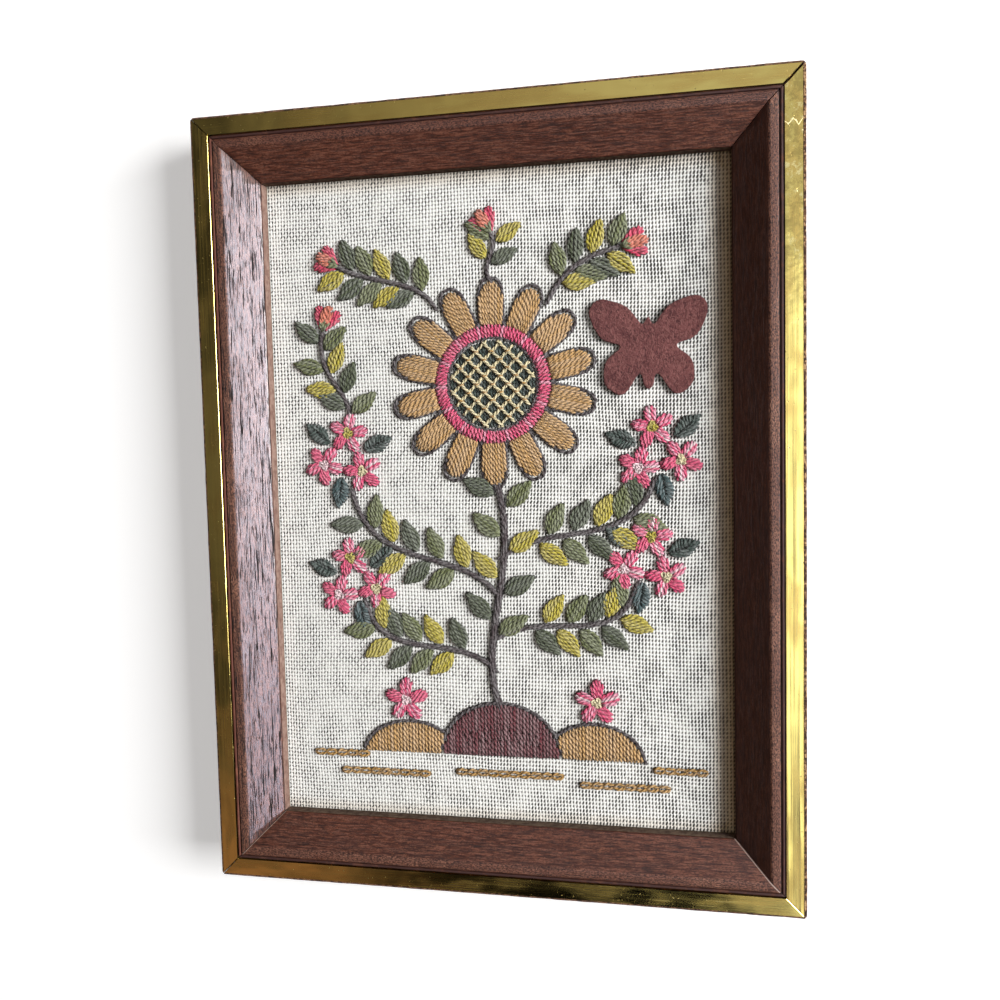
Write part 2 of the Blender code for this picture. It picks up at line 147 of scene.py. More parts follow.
GROUND_LINES = [
    GroundLine(-47, -72, 16),
    GroundLine(-34, -77, 26),
    GroundLine(2, -76, 30),
    GroundLine(34, -78, 24),
    GroundLine(49, -73, 14),
]
GROUND_LINE_WIDTH = 2.2

# The felt figure's right half, from the head down to the tail
FELT_CENTRE = (42, 40)
WING_POINTS = [
    (0.0, 8.2),
    (1.7, 6.4),
    (5.6, 11.0),
    (12.6, 13.2),
    (15.4, 9.6),
    (12.4, 3.0),
    (7.4, 0.6),
    (11.2, -3.2),
    (11.4, -9.2),
    (6.8, -12.0),
    (2.4, -6.6),
    (1.2, -9.6),
    (0.0, -10.6),
]
FELT_STEPS = 6

# A crease zigzags across the right brass strip, at a height above the middle. It is drawn as a painted
# highlight, a bright zigzag line.
CREASE_HEIGHT = 94.0
CREASE_REACH = 2.4
CREASE_SWING = 3.0

# Yarn, as crewel wool of two plies
STRAND_WIDTH = 1.02
STRAND_PITCH = 0.92
STRAND_SIDES = 6
RING_SPACING = 0.38
TWIST_LENGTH = 3.0
PLY_LONG = 0.56
PLY_SHORT = 0.42
STRAND_ROOT = -0.1
KNOT_STEPS = 16
KNOT_TURNS = 1.45
KNOT_RADIUS = 0.62
KNOT_WRAPPED = 0.82
CHAIN_LINK = 3.0
LATTICE_PITCH = 3.1
TIE_REACH = Vector((0.75, 0))
PETAL_YARNS = [["hot_pink", "light_pink"], ["hot_pink"], ["light_pink", "hot_pink", "pale_pink"]]

# Weave of the linen
WARP_PITCH = 0.90
WEFT_PITCH = 1.07
WEAVE_MARGIN = 0.3
WEAVE_WIDTH = SIGHT_WIDTH + 2 * WEAVE_MARGIN
WEAVE_HEIGHT = SIGHT_HEIGHT + 2 * WEAVE_MARGIN
WARP_RISE = 0.14
WEFT_RISE = 0.07
HOLE_DIP = 0.16
RIPPLE_RISE = 0.10
EDGE_FADE = 12.0
HOLE_REACH = 0.45
HOLE_SLENDER = 0.64
HOLE_LEAN = 0.32


# Shader maths

def tint(red, green, blue):
    """A colour given in screen values from 0 to 255, as the linear colour that a shader takes."""
    def linear(value):
        share = value / 255
        return share / 12.92 if share <= 0.04045 else ((share + 0.055) / 1.055) ** 2.4
    return (linear(red), linear(green), linear(blue), 1.0)


class Value:
    """A shader value. Sums written with it add Math nodes."""

    def __init__(self, graph, socket):
        self.graph = graph
        self.socket = socket

    def math(self, operation, *others):
        return self.graph.node("Math", {"operation": operation}, dict(enumerate((self, *others))))

    def __rsub__(self, other):
        return self.graph.node("Math", {"operation": "SUBTRACT"}, {0: other, 1: self})

    __add__ = __radd__ = partialmethod(math, "ADD")
    __sub__ = partialmethod(math, "SUBTRACT")
    __mul__ = __rmul__ = partialmethod(math, "MULTIPLY")
    __truediv__ = partialmethod(math, "DIVIDE")
    power = partialmethod(math, "POWER")
    least = partialmethod(math, "MINIMUM")
    most = partialmethod(math, "MAXIMUM")
    size = partialmethod(math, "ABSOLUTE")
    root = partialmethod(math, "SQRT")
    sine = partialmethod(math, "SINE")
    cosine = partialmethod(math, "COSINE")
    floor = partialmethod(math, "FLOOR")
    part = partialmethod(math, "FRACT")

    def between(self, low, high, start=0.0, end=1.0):
        """A smooth step from start at low to end at high."""
        sockets = {"Value": self, "From Min": low, "From Max": high, "To Min": start, "To Max": end}
        return self.graph.node("MapRange", {"interpolation_type": "SMOOTHSTEP"}, sockets)


class Graph:
    """The nodes of one shader tree."""

    def __init__(self, tree):
        self.tree = tree

    def join(self, socket, value):
        if isinstance(value, Value):
            self.tree.links.new(value.socket, socket)
        else:
            socket.default_value = value

    def node(self, kind, settings=None, sockets=None, output=0):
        made = self.tree.nodes.new("ShaderNode" + kind)
        for name, value in (settings or {}).items():
            setattr(made, name, value)
        for name, value in (sockets or {}).items():
            self.join(made.inputs[name], value)
        return Value(self, made.outputs[output])

    def place(self):
        """Object coordinates, in metres."""
        return self.node("TexCoord", output="Object")

    def axes(self, vector):
        return [self.node("SeparateXYZ", sockets={0: vector}, output=i) for i in range(3)]

    def millimetres(self):
        """Object coordinates as three values."""
        return [axis * 1000 for axis in self.axes(self.place())]

    def stretched(self, vector, axis, across, along):
        """Coordinates scaled by along on one axis, and by across on the other two."""
        scale = [across] * 3
        scale[axis] = along
        return self.node("Mapping", sockets={"Vector": vector, "Scale": scale})

    def noise(self, vector, scale=1.0, detail=2.0, roughness=0.5, distortion=0.0):
        sockets = {"Vector": vector, "Scale": scale, "Detail": detail, "Roughness": roughness,
                   "Distortion": distortion}
        return self.node("TexNoise", sockets=sockets)

    def mix(self, factor, first, second, blend="MIX"):
        settings = {"data_type": "RGBA", "blend_type": blend}
        return self.node("Mix", settings, {0: factor, 6: first, 7: second}, 2)

    def layers(self, colour, *coats):
        """Lays coats over a colour. Each coat is how much it covers, and its own colour."""
        for share, coat in coats:
            colour = self.mix(share, colour, coat)
        return colour

    def ramp(self, value, stops):
        """Colours a value by stops, which are positions and their colours."""
        ramp = self.node("ValToRGB", sockets={0: value})
        elements = ramp.socket.node.color_ramp.elements
        while len(elements) < len(stops):
            elements.new(1.0)
        for element, (position, colour) in zip(elements, stops):
            element.position = position
            element.color = colour
        return ramp


class Paint(Graph):
    """One material and the nodes that paint it."""

    def __init__(self, name):
        self.material = bpy.data.materials.new(name)
        self.material.use_nodes = True
        super().__init__(self.material.node_tree)
        self.shader = self.tree.nodes["Principled BSDF"]

    def bump(self, height, distance, strength=1.0):
        """Raises the surface by height, which counts distance in metres at 1."""
        sockets = {"Height": height, "Distance": distance, "Strength": strength}
        self.join(self.shader.inputs["Normal"], self.node("Bump", sockets=sockets))

    def finish(self, **values):
        """Sets the shader's sockets. An underscore in a name stands for a space."""
        for name, value in values.items():
            self.join(self.shader.inputs[name.replace("_", " ")], value)
        return self.material


# Materials

def wood_finish(name, along, tone, lacquer, slits, worn, mitre_highlight=0.0):
    """Dark open-pored hardwood. along is the grain's axis. A low tone darkens the slope with painted shade,
    for a rail that faces away from the light, and a pale painted highlight can be laid along the bottom
    mitres.
    """
    paint = Paint(name)
    place = paint.place()
    x, depth, z = paint.millimetres()
    grain = partial(paint.stretched, place, along)
    broad = paint.noise(grain(170, 9), detail=3, distortion=0.6)
    fibre = paint.noise(grain(2500, 280), detail=2, roughness=0.6)
    stripes = paint.noise(grain(900, 30), detail=2)
    fine_pores = paint.noise(grain(4200, 380), detail=1).between(0.60, 0.63) * 0.8
    long_pores = paint.noise(grain(3300, 110), detail=1, distortion=0.2).between(0.575, 0.59)
    stipple = paint.noise(grain(3700, 1500), detail=4, roughness=0.85)
    pores = fine_pores.most(long_pores * stripes.between(0.36, 0.5)) * slits
    rubbed = paint.noise(place, scale=75, detail=3, roughness=0.6).between(0.45, 0.7)
    flecks = paint.noise(grain(1900, 800), detail=3, roughness=0.7).between(0.56, 0.66)
    flecks = flecks * (0.25 + rubbed * 0.75)
    face = depth.between(-19.55, -19.85)
    bare = face * stipple.between(0.47, 0.58) * worn
    # Painted shade: the slope darkens as far as tone is low, most on the right rail, which faces away from
    # the window.
    dark = tuple(channel * tone for channel in tint(106, 52, 30)[:3]) + (1.0,)
    from_mitre = (z - CENTRE_Z + OUTER_HEIGHT / 2 - (OUTER_WIDTH / 2 - x.size())).size()
    colour = paint.layers(
        paint.mix(broad.between(0.3, 0.7), tint(82, 42, 30), tint(102, 56, 40)),
        (fibre.between(0.50, 0.60) * 0.8, tint(132, 84, 66)),
        (fibre.between(0.47, 0.37) * 0.75, tint(40, 18, 12)),
        (flecks * 0.6, tint(156, 100, 70)),
        (stipple.between(0.5, 0.44) * 0.75, tint(34, 14, 9)),
        ((1.0 - face) * (1.0 - tone), dark),
        (face * 0.8, tint(84, 36, 23)),
        (bare * (0.5 + rubbed * 0.5), tint(190, 136, 108)),
        (face * stipple.between(0.50, 0.45) * 0.9, tint(20, 8, 6)),
        # Painted highlight: a pale line along the bottom mitres, where the rail's end edge catches the light.
        (from_mitre.between(0.46, 0.36) * mitre_highlight, tint(196, 170, 156)),
        (pores * 0.95, tint(8, 4, 3)),
        (depth.between(-1.6, -1.0), tint(136, 100, 72)),
    )
    paint.bump(fibre * 0.3 - pores * 0.9 + bare * 0.25 + stipple * 0.4, 0.00010, 0.8)
    rough = 0.44 + fibre * 0.10 + pores * 0.4 + bare * 0.15
    gloss = (1.0 - pores) * (1.0 - face * 0.9) * (1.0 - flecks * 0.3) * lacquer
    return paint.finish(Base_Color=colour, Roughness=rough, Coat_Weight=gloss, Coat_Roughness=0.24)


def bead_finish(name, dark, pale):
    """The bead beside the brass: dark, smooth and glossy, rubbed here and there."""
    paint = Paint(name)
    patches = paint.noise(paint.place(), scale=420, detail=3, roughness=0.65).between(0.5, 0.72)
    colour = paint.mix(patches * 0.5, dark, pale)
    return paint.finish(Base_Color=colour, Roughness=0.7 + patches * 0.2)


def rim_finish(name, crumbled):
    """The rough dark edge outside the brass, with crumbs of filler in it where it is crumbled."""
    paint = Paint(name)
    crumbs = paint.noise(paint.place(), scale=1100, detail=4, roughness=0.75)
    colour = paint.layers(
        paint.mix(crumbs.between(0.40, 0.55), tint(40, 24, 18), tint(112, 76, 54)),
        (crumbs.between(0.53, 0.60) * crumbled, tint(196, 160, 118)),
    )
    paint.bump(crumbs, 0.0005)
    return paint.finish(Base_Color=colour, Roughness=0.9)


def sight_finish(name, dark, pale):
    """The thinly stained edge that stands on the linen."""
    paint = Paint(name)
    _, depth, _ = paint.millimetres()
    mottle = paint.noise(paint.place(), scale=700, detail=3, roughness=0.6)
    colour = paint.layers(
        paint.mix(mottle.between(0.3, 0.7), dark, pale),
        (depth.between(-13.7, -14.1), tint(30, 17, 13)),
        (depth.between(-10.9, -10.4) * 0.8, tint(112, 104, 66)),
    )
    paint.bump(mottle, 0.00012)
    return paint.finish(Base_Color=colour, Roughness=0.8)


def brass_finish(name, along):
    """Thin polished strip, drawn lengthwise, dulled in patches, scratched and creased. The crease on the
    right strip is drawn only as a painted highlight, and that strip's upper part has pale clouds of painted
    highlight.
    """
    paint = Paint(name)
    place = paint.place()
    drawn = partial(paint.stretched, place, along)
    scratches = paint.noise(drawn(2600, 60), detail=3, roughness=0.6)
    streaks = paint.noise(drawn(620, 9), detail=2, roughness=0.5)
    patches = paint.noise(drawn(150, 48), detail=2, roughness=0.6).between(0.45, 0.62)
    specks = paint.noise(place, scale=1400, detail=2).between(0.68, 0.76)
    waves = paint.noise(place, scale=120, detail=1)
    dents = paint.noise(place, scale=260, detail=2, roughness=0.5)
    colour = paint.mix(patches * 0.5, tint(223, 204, 120), tint(196, 162, 84))
    colour = paint.mix(specks * 0.7, colour, tint(84, 60, 30))
    rough = 0.14 + patches * 0.12 + scratches.between(0.5, 0.8) * 0.12 + specks * 0.3
    if along == 2:
        x, _, z = paint.millimetres()
        on_right = x.between(0.0, 1.0)
        above_crease = z - (CENTRE_Z + CREASE_HEIGHT)
        zigzag = ((x / CREASE_REACH).part() - 0.5).size() * CREASE_SWING + paint.noise(place, scale=700) * 1.6
        # Painted highlight: a bright zigzag line where the crease catches the light.
        crease_glint = (above_crease + zigzag).size().between(0.26, 0.08) * on_right
        upper = above_crease.between(-60.0, -25.0) * on_right
        # Paler and darker clouds on the upper right strip. The paler ones are painted highlights.
        clouds = paint.noise(place, scale=420, detail=4, roughness=0.7)
        colour = paint.layers(
            colour,
            (clouds.between(0.50, 0.40) * upper * 0.55, tint(168, 150, 84)),
            (clouds.between(0.55, 0.66) * upper * 0.7, tint(250, 240, 176)),
            (crease_glint, tint(255, 244, 190)),
        )
        rough = rough + crease_glint * 0.5
        dents = dents * upper
    else:
        dents = dents * 0.04
    paint.bump(scratches * 0.06 + streaks * 1.2 + waves * 1.6 + dents * 2.4 - specks * 0.5, 0.00005)
    return paint.finish(
        Base_Color=colour, Metallic=1.0, Roughness=rough, Coat_Weight=0.5, Coat_Roughness=0.15,
    )


def linen_finish():
    """Off-white plain weave. The piece's UV map counts its threads."""
    paint = Paint("linen")
    threads = paint.node("UVMap", {"uv_map": "threads"})
    wobble = paint.noise(threads, scale=0.7, detail=2) - 0.5
    across, down = (axis + wobble * 0.22 for axis in paint.axes(threads)[:2])
    warp_number = (across + 0.5).floor()
    weft_number = (down + 0.5).floor()
    slub = paint.noise(threads, scale=0.33, detail=3, roughness=0.6)

    def roundness(offset, half_width):
        share = (offset / half_width).least(1.0)
        return (1.0 - share * share).root()

    def thread_tone(number):
        return paint.node("TexWhiteNoise", {"noise_dimensions": "1D"}, {"W": number})

    warp_offset = ((across + 0.5).part() - 0.5).size()
    weft_offset = ((down + 0.5).part() - 0.5).size()
    warp_round = roundness(warp_offset, 0.32 + slub * 0.18)
    weft_round = roundness(weft_offset, 0.28 + slub * 0.20)
    warp_over = 0.5 + 0.5 * ((warp_number + down) * math.pi).cosine()
    weft_over = 0.5 - 0.5 * ((weft_number + across) * math.pi).cosine()
    height = (warp_round * (0.55 + 0.45 * warp_over)).most(weft_round * (0.50 + 0.50 * weft_over))
    fuzz = paint.noise(threads, scale=6.0, detail=3, roughness=0.7)
    hole_x = across.floor() + 0.5
    hole_y = down.floor() + 0.5
    cell = paint.node("CombineXYZ", sockets={0: hole_x, 1: hole_y, 2: 0.5})
    chance = paint.node("TexWhiteNoise", {"noise_dimensions": "3D"}, {"Vector": cell})
    close = paint.noise(threads, scale=0.16, detail=3, roughness=0.6).between(0.36, 0.68)
    x, _, z = paint.millimetres()
    z = z - CENTRE_Z
    leftward = x.between(15.0, -30.0)
    right_edge = (x - SIGHT_WIDTH / 2).between(-8.0, -0.5)
    top_edge = (z - SIGHT_HEIGHT / 2).between(-5.0, -0.5)
    bottom_edge = (z + SIGHT_HEIGHT / 2).between(4.0, 0.5)
    swing = ((hole_x + hole_y) * math.pi).cosine() * leftward * 0.38
    # Each dark mark is a hole with painted shade beside it, so the marks lean, and on the left they swing one
    # way and the other.
    beside_hole = across - hole_x - (down - hole_y) * (HOLE_LEAN * (1.0 - leftward * 0.6) + swing)
    open_weave = x.between(0.0, 40.0) * (0.10 + z.between(-39.7, 20.3) * 0.10)
    reach = HOLE_REACH * (1.09 + open_weave - leftward * 0.08 - close * 0.34 - chance * 0.24)
    from_hole = (beside_hole / (reach * HOLE_SLENDER)).power(2.0) + ((down - hole_y) / reach).power(2.0)
    hole = from_hole.between(1.2, 0.6)
    # Painted shade on the weft where it slopes away from the light, stronger on the left.
    shade_turned_from_light = ((weft_number + across) * math.pi).sine().most(0.0) * warp_offset.between(0.29, 0.42)
    tone = thread_tone(warp_number) * warp_over + thread_tone(weft_number + 0.5) * (1.0 - warp_over)
    # Painted shade along the sight edges: strongest beside the right rail, weaker at the top and bottom, and
    # none on the left.
    painted_edge_shade = (right_edge + top_edge * 0.4 + bottom_edge * 0.3).least(1.0)
    # Painted shade: the threads are darker where they dip low, beside the holes and under the crossing
    # threads.
    cloth = paint.ramp(height, [
        (0.0, tint(176, 174, 168)),
        (0.4, tint(216, 215, 208)),
        (0.6, tint(244, 243, 238)),
        (0.85, tint(255, 255, 251)),
    ])
    colour = paint.layers(
        cloth,
        (shade_turned_from_light * (leftward * 0.25 + 0.1), tint(60, 58, 56)),
        # The holes are painted near black: the opening, with the shade in it and beside it. They are fainter
        # near the right edge.
        (hole * (1.0 - close * 0.15 - right_edge * 0.45), tint(8, 8, 8)),
        (tone * 0.14 + fuzz.between(0.4, 0.8) * 0.10, tint(178, 174, 164)),
        # Painted shade: the crossings where the weft lies over are a little darker.
        ((1.0 - warp_over) * 0.06, tint(150, 147, 140)),
    )
    colour = paint.mix(painted_edge_shade, colour, tint(212, 186, 152), "MULTIPLY")
    paint.bump(height + fuzz * 0.3 - hole * 0.8, 0.00020)
    return paint.finish(Base_Color=colour, Roughness=0.88, Sheen_Weight=0.12)


def wool_finish(name, colour):
    """Two-ply wool. The UV map runs along a strand in millimetres and once around it."""
    paint = Paint("wool_" + name)
    strand = paint.node("UVMap", {"uv_map": "strand"})
    along, around, _ = paint.axes(strand)
    shade = paint.node("Attribute", {"attribute_name": "shade"}, output="Fac")
    groove = (0.5 - 0.5 * (around * 4 * math.pi).cosine()).power(3.0)
    lanes = paint.node("CombineXYZ", sockets={0: along * 0.8, 1: around * 7.0 + along * 1.3, 2: shade * 40})
    fibres = paint.noise(lanes, scale=2.2, detail=3, roughness=0.65)
    place = paint.place()
    fluff = paint.noise(place, scale=2600, detail=2)
    hairs = paint.noise(place, scale=1000, detail=4, roughness=0.75, distortion=2.5).between(0.54, 0.66)
    _, depth, _ = paint.millimetres()
    # Painted shade: the strands darken low down, near the linen and between neighbours.
    low_strand_shade = (LINEN_FACE_Y - depth).between(0.80, 0.30)
    deep = tuple(channel * 0.30 for channel in colour[:3]) + (1.0,)
    light = tuple(channel + (1 - channel) * 0.26 for channel in colour[:3]) + (1.0,)
    painted = paint.layers(
        colour,
        (shade * 0.6, light),
        (fibres.between(0.45, 0.65) * 0.45, light),
        (hairs * 0.45, light),
        (fibres.between(0.50, 0.30) * 0.35, deep),
        # Painted shade in the groove between the two plies.
        (groove * 0.7, deep),
        (low_strand_shade * 0.6, deep),
    )
    paint.bump(fibres * 0.9 - groove * 1.4 + fluff * 0.6 + hairs * 0.4, 0.00016)
    return paint.finish(Base_Color=painted, Roughness=0.92, Sheen_Weight=0.2, Sheen_Roughness=0.4)


def felt_finish():
    """Matt pressed wool, mottled and slightly hairy."""
    paint = Paint("felt")
    place = paint.place()
    cloud = paint.noise(place, scale=160, detail=4, roughness=0.6)
    hairs = paint.noise(paint.stretched(place, 2, 1500, 950), detail=2, roughness=0.6, distortion=1.5)
    colour = paint.layers(
        paint.mix(cloud.between(0.3, 0.7), tint(96, 50, 50), tint(118, 68, 66)),
        (hairs.between(0.50, 0.64) * 0.5, tint(150, 100, 94)),
        (hairs.between(0.48, 0.36) * 0.6, tint(54, 24, 26)),
    )
    paint.bump(hairs * 1.2 + cloud, 0.00034)
    return paint.finish(Base_Color=colour, Roughness=1.0, Sheen_Weight=0.15, Sheen_Roughness=0.5)


def board_finish():
    """Plain hardboard, screened on its back."""
    paint = Paint("board")
    x, _, z = paint.millimetres()
    screen = ((x * 2.6).sine() * (z * 2.6).sine()).size()
    mottle = paint.noise(paint.place(), scale=260, detail=4, roughness=0.6)
    colour = paint.layers(
        paint.mix(mottle.between(0.3, 0.7), tint(112, 84, 58), tint(148, 116, 84)),
        (screen * 0.25, tint(84, 60, 40)),
    )
    paint.bump(mottle * 0.5 - screen * 0.5, 0.00015)
    return paint.finish(Base_Color=colour, Roughness=0.9)


YARN_COLOURS = {
    "bark": tint(64, 47, 50),
    "olive": tint(112, 120, 66),
    "dark_olive": tint(78, 88, 56),
    "mustard": tint(196, 180, 42),
    "tan": tint(208, 162, 96),
    "cream": tint(236, 221, 172),
    "dark_green": tint(44, 68, 58),
    "teal": tint(52, 82, 84),
    "hot_pink": tint(236, 72, 122),
    "light_pink": tint(245, 150, 178),
    "pale_pink": tint(250, 218, 222),
    "red_pink": tint(224, 44, 92),
    "coral": tint(226, 122, 92),
    "maroon": tint(112, 36, 46),
    "gold": tint(200, 150, 62),
}
yarns = {name: wool_finish(name, colour) for name, colour in YARN_COLOURS.items()}


# Modelling helpers

def select_nothing():
    for item in bpy.context.selected_objects:
        item.select_set(False)


def edit(piece):
    select_nothing()
    piece.select_set(True)
    bpy.context.view_layer.objects.active = piece
    bpy.ops.object.mode_set(mode="EDIT")


def leave_edit():
    bpy.ops.object.mode_set(mode="OBJECT")


def select_whole():
    bpy.ops.mesh.select_all(action="SELECT")


def select_where(piece, kind, test):
    """In edit mode, selects the piece's edges or faces that pass the test, and nothing else."""
    bpy.ops.mesh.select_mode(type="EDGE" if kind == "edges" else "FACE")
    bpy.ops.mesh.select_all(action="DESELECT")
    shape = bmesh.from_edit_mesh(piece.data)
    for item in getattr(shape, kind):
        if test(item):
            item.select_set(True)
    shape.select_flush_mode()
    bmesh.update_edit_mesh(piece.data)


def shade_smooth(piece, sharp_degrees):
    """Smooth shading, with the edges that turn by more than an angle left sharp."""
    piece.data.shade_smooth()
    piece.data.set_sharp_from_angle(angle=math.radians(sharp_degrees))


def dress(piece, slot_name, *nodes):
    """Puts a finished piece on the body and hides the nodes that it stands for. Its slot name is not used."""
    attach(piece, BODY)
    if nodes:
        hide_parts(*nodes)
    return piece


# Camera, from a fit of the frame's edges in the photograph

FOCAL_PIXELS = 1012.4
PICTURE_PIXELS = 1000
SENSOR = 36.0
CAMERA_OFFSET = (59.8, 20.1, 259.9)
CAMERA_TILT = 0.0727384
CAMERA_TURN = -0.2129405
CAMERA_ROLL = 0.0072230


def make_camera():
    data = bpy.data.cameras.new("camera")
    data.sensor_width = SENSOR
    data.lens = FOCAL_PIXELS / PICTURE_PIXELS * SENSOR
    data.clip_start = 0.01
    data.clip_end = 10
    camera = bpy.data.objects.new("camera", data)
    bpy.context.scene.collection.objects.link(camera)
    roll = Matrix.Rotation(CAMERA_ROLL, 3, "Z")
    turn = Matrix.Rotation(CAMERA_TURN, 3, "Y")
    tilt = Matrix.Rotation(CAMERA_TILT, 3, "X")
    upright = Matrix.Rotation(math.radians(90), 3, "X")
    facing = (upright @ (roll @ turn @ tilt).transposed()).to_4x4()
    right, up, out = CAMERA_OFFSET
    place = Vector((right, -FRAME_DEPTH - out, CENTRE_Z + up)) * MM
    camera.matrix_world = Matrix.Translation(place) @ facing
    bpy.context.scene.camera = camera


# Stage and light

FLOOR_DROP = 60.0
FLOOR_SIZE = 3000.0
WALL_OFFSET = 0.4
WALL_WIDTH = 1400.0
WALL_HEIGHT = 840.0
WALL_GLOW = 0.36
STAGE_WHITE = (0.86, 0.86, 0.86, 1)

# Each lamp's size and its place off the middle of the frame's face are in metres.
Lamp = namedtuple("Lamp", "name size power place")
WINDOW = Lamp("window", (0.80, 0.80), 40.0, (1.20, -0.80, 0.13))
SASH = Lamp("sash", (0.12, 0.80), 4.7, (0.48, -0.64, -0.06))
BACK_FILL = Lamp("back_fill", (0.60, 0.60), 2.5, (-0.30, 0.60, 0.20))
SASH_COLOUR = (0.84, 0.78, 0.96)


def add_plane(name, width, height):
    select_nothing()
    bpy.ops.mesh.primitive_plane_add(size=1)
    plane = bpy.context.object
    plane.name = name
    plane.data.transform(Matrix.Diagonal((width * MM, height * MM, 1, 1)))
    return plane


def make_stage():
    """A pale wall just behind the frame, clear from behind, and a pale floor under it."""
    floor_z = CENTRE_Z - OUTER_HEIGHT / 2 - FLOOR_DROP
    wall = add_plane("wall", WALL_WIDTH, WALL_HEIGHT)
    wall.data.transform(Matrix.Rotation(math.radians(90), 4, "X"))
    wall.data.transform(Matrix.Translation(Vector((0, WALL_OFFSET, floor_z + WALL_HEIGHT / 2)) * MM))
    wall.visible_shadow = False
    paint = Paint("wall")
    paint.finish(Base_Color=STAGE_WHITE, Roughness=1.0)
    paint.finish(Emission_Color=(1, 1, 1, 1), Emission_Strength=WALL_GLOW)
    clear = paint.node("BsdfTransparent")
    behind = paint.node("NewGeometry", output="Backfacing")
    seen = paint.node("MixShader", sockets={0: behind, 1: Value(paint, paint.shader.outputs[0]), 2: clear})
    paint.join(paint.tree.nodes["Material Output"].inputs["Surface"], seen)
    wall.data.materials.append(paint.material)
    floor = add_plane("floor", FLOOR_SIZE, FLOOR_SIZE)
    floor.data.transform(Matrix.Translation(Vector((0, 0, floor_z)) * MM))
    floor.visible_glossy = False
    floor.visible_diffuse = False
    floor.data.materials.append(Paint("floor").finish(Base_Color=STAGE_WHITE, Roughness=0.9))


def add_light(lamp):
    data = bpy.data.lights.new(lamp.name, "AREA")
    data.shape = "RECTANGLE"
    data.size, data.size_y = lamp.size
    data.energy = lamp.power
    light = bpy.data.objects.new(lamp.name, data)
    bpy.context.scene.collection.objects.link(light)
    centre = Vector((0, -FRAME_DEPTH, CENTRE_Z)) * MM
    light.location = centre + Vector(lamp.place)
    light.rotation_euler = (centre - light.location).to_track_quat("-Z", "Y").to_euler()
    return light


def make_light():
    """A bright window to the right of the frame, in a room that is dim to the left and below."""
    world = bpy.data.worlds.new("studio")
    bpy.context.scene.world = world
    world.use_nodes = True
    sky = Graph(world.node_tree)
    x, y, z = sky.axes(sky.node("TexCoord", output="Generated"))
    level = z.between(-0.34, -0.24) * z.between(0.7, 0.46)
    dim = x.between(-0.40, -0.46) * z.between(-0.08, -0.22).most(z.between(0.02, 0.12)) * 0.55
    room = x.between(-0.56, 0.06, 0.04, 0.68) * x.between(0.3, 0.15, 0.15, 1.0) * level * (1.0 - dim)
    opening = x.between(0.055, 0.10) * x.between(0.30, 0.18) * z.between(-0.62, -0.5) * z.between(0.20, 0.02)
    warm_corner = x.between(-0.30, -0.36) * z.between(-0.26, -0.37) * z.between(-0.6, -0.5) * 0.33
    far_left = x.between(-0.42, -0.47) * z.between(-0.22, -0.06) * z.between(0.12, 0.0) * 0.09
    behind = y.between(0.0, 0.5)
    bright = (room + opening * 2.1 + warm_corner + far_left) * (1.0 - behind) + behind * 0.6
    seen = sky.node("LightPath", output="Is Camera Ray")
    colour = sky.layers(
        (1.0, 0.99, 0.97, 1.0),
        (x.between(0.05, -0.35), (1.0, 0.86, 0.70, 1.0)),
        (warm_corner * 2.9, (1.0, 0.50, 0.34, 1.0)),
    )
    background = world.node_tree.nodes["Background"].inputs
    sky.join(background["Color"], colour)
    sky.join(background["Strength"], seen * 0.9 + (1.0 - seen) * bright)
    add_light(WINDOW)
    sash = add_light(SASH)
    sash.data.color = SASH_COLOUR
    sash.visible_diffuse = False
    add_light(BACK_FILL)
    bpy.context.scene.view_settings.view_transform = "Standard"


# Frame

Corner = namedtuple("Corner", "inset depth radius")
Side = namedtuple("Side", "name along length location turn rim")
ROUND_STEPS = 3
BEAD_START = BRASS_MARGIN + BRASS_WIDTH + GAP
RIM_WIDE = 0.72
RIM_NARROW = 0.5
WOOD_GAP = 0.16
BRASS_GAP = 0.1
BRASS_OPEN_GAP = 0.45
BRASS_TILT = 0.03
BRASS_CHAMFER = 0.07
CORNER_RADIUS = 1.0
CORNER_CUTS = (0.25, 0.5, 0.75, 1.0)
WOOD_CUTS = 70
BRASS_CUTS = 160
LIT_FRONT_Y = -13.0
FACE_FRONT_Y = -19.0
STRIP_FRONT_Y = -19.5
MITRE_ARRIS = 0.11
MITRE_DROP = 0.08
TOUCH = 0.01


def rounded(corners):
    """A section's points, with each corner rounded to its radius."""
    points = []
    count = len(corners)
    for i, corner in enumerate(corners):
        here = Vector((corner.inset, corner.depth))
        if corner.radius == 0:
            points.append(here)
            continue
        before = corners[i - 1]
        after = corners[(i + 1) % count]
        back = (Vector((before.inset, before.depth)) - here).normalized() * corner.radius
        ahead = (Vector((after.inset, after.depth)) - here).normalized() * corner.radius
        for step in range(ROUND_STEPS + 1):
            share = step / ROUND_STEPS
            points.append(here + back * (1 - share) ** 2 + ahead * share**2)
    return points


def on_slope(lip_end, share):
    """A plain corner on the slope, at a share of its run from the lip."""
    return Corner(lip_end + (RAIL_WIDTH - lip_end) * share, SLOPE_DROP * share, 0)


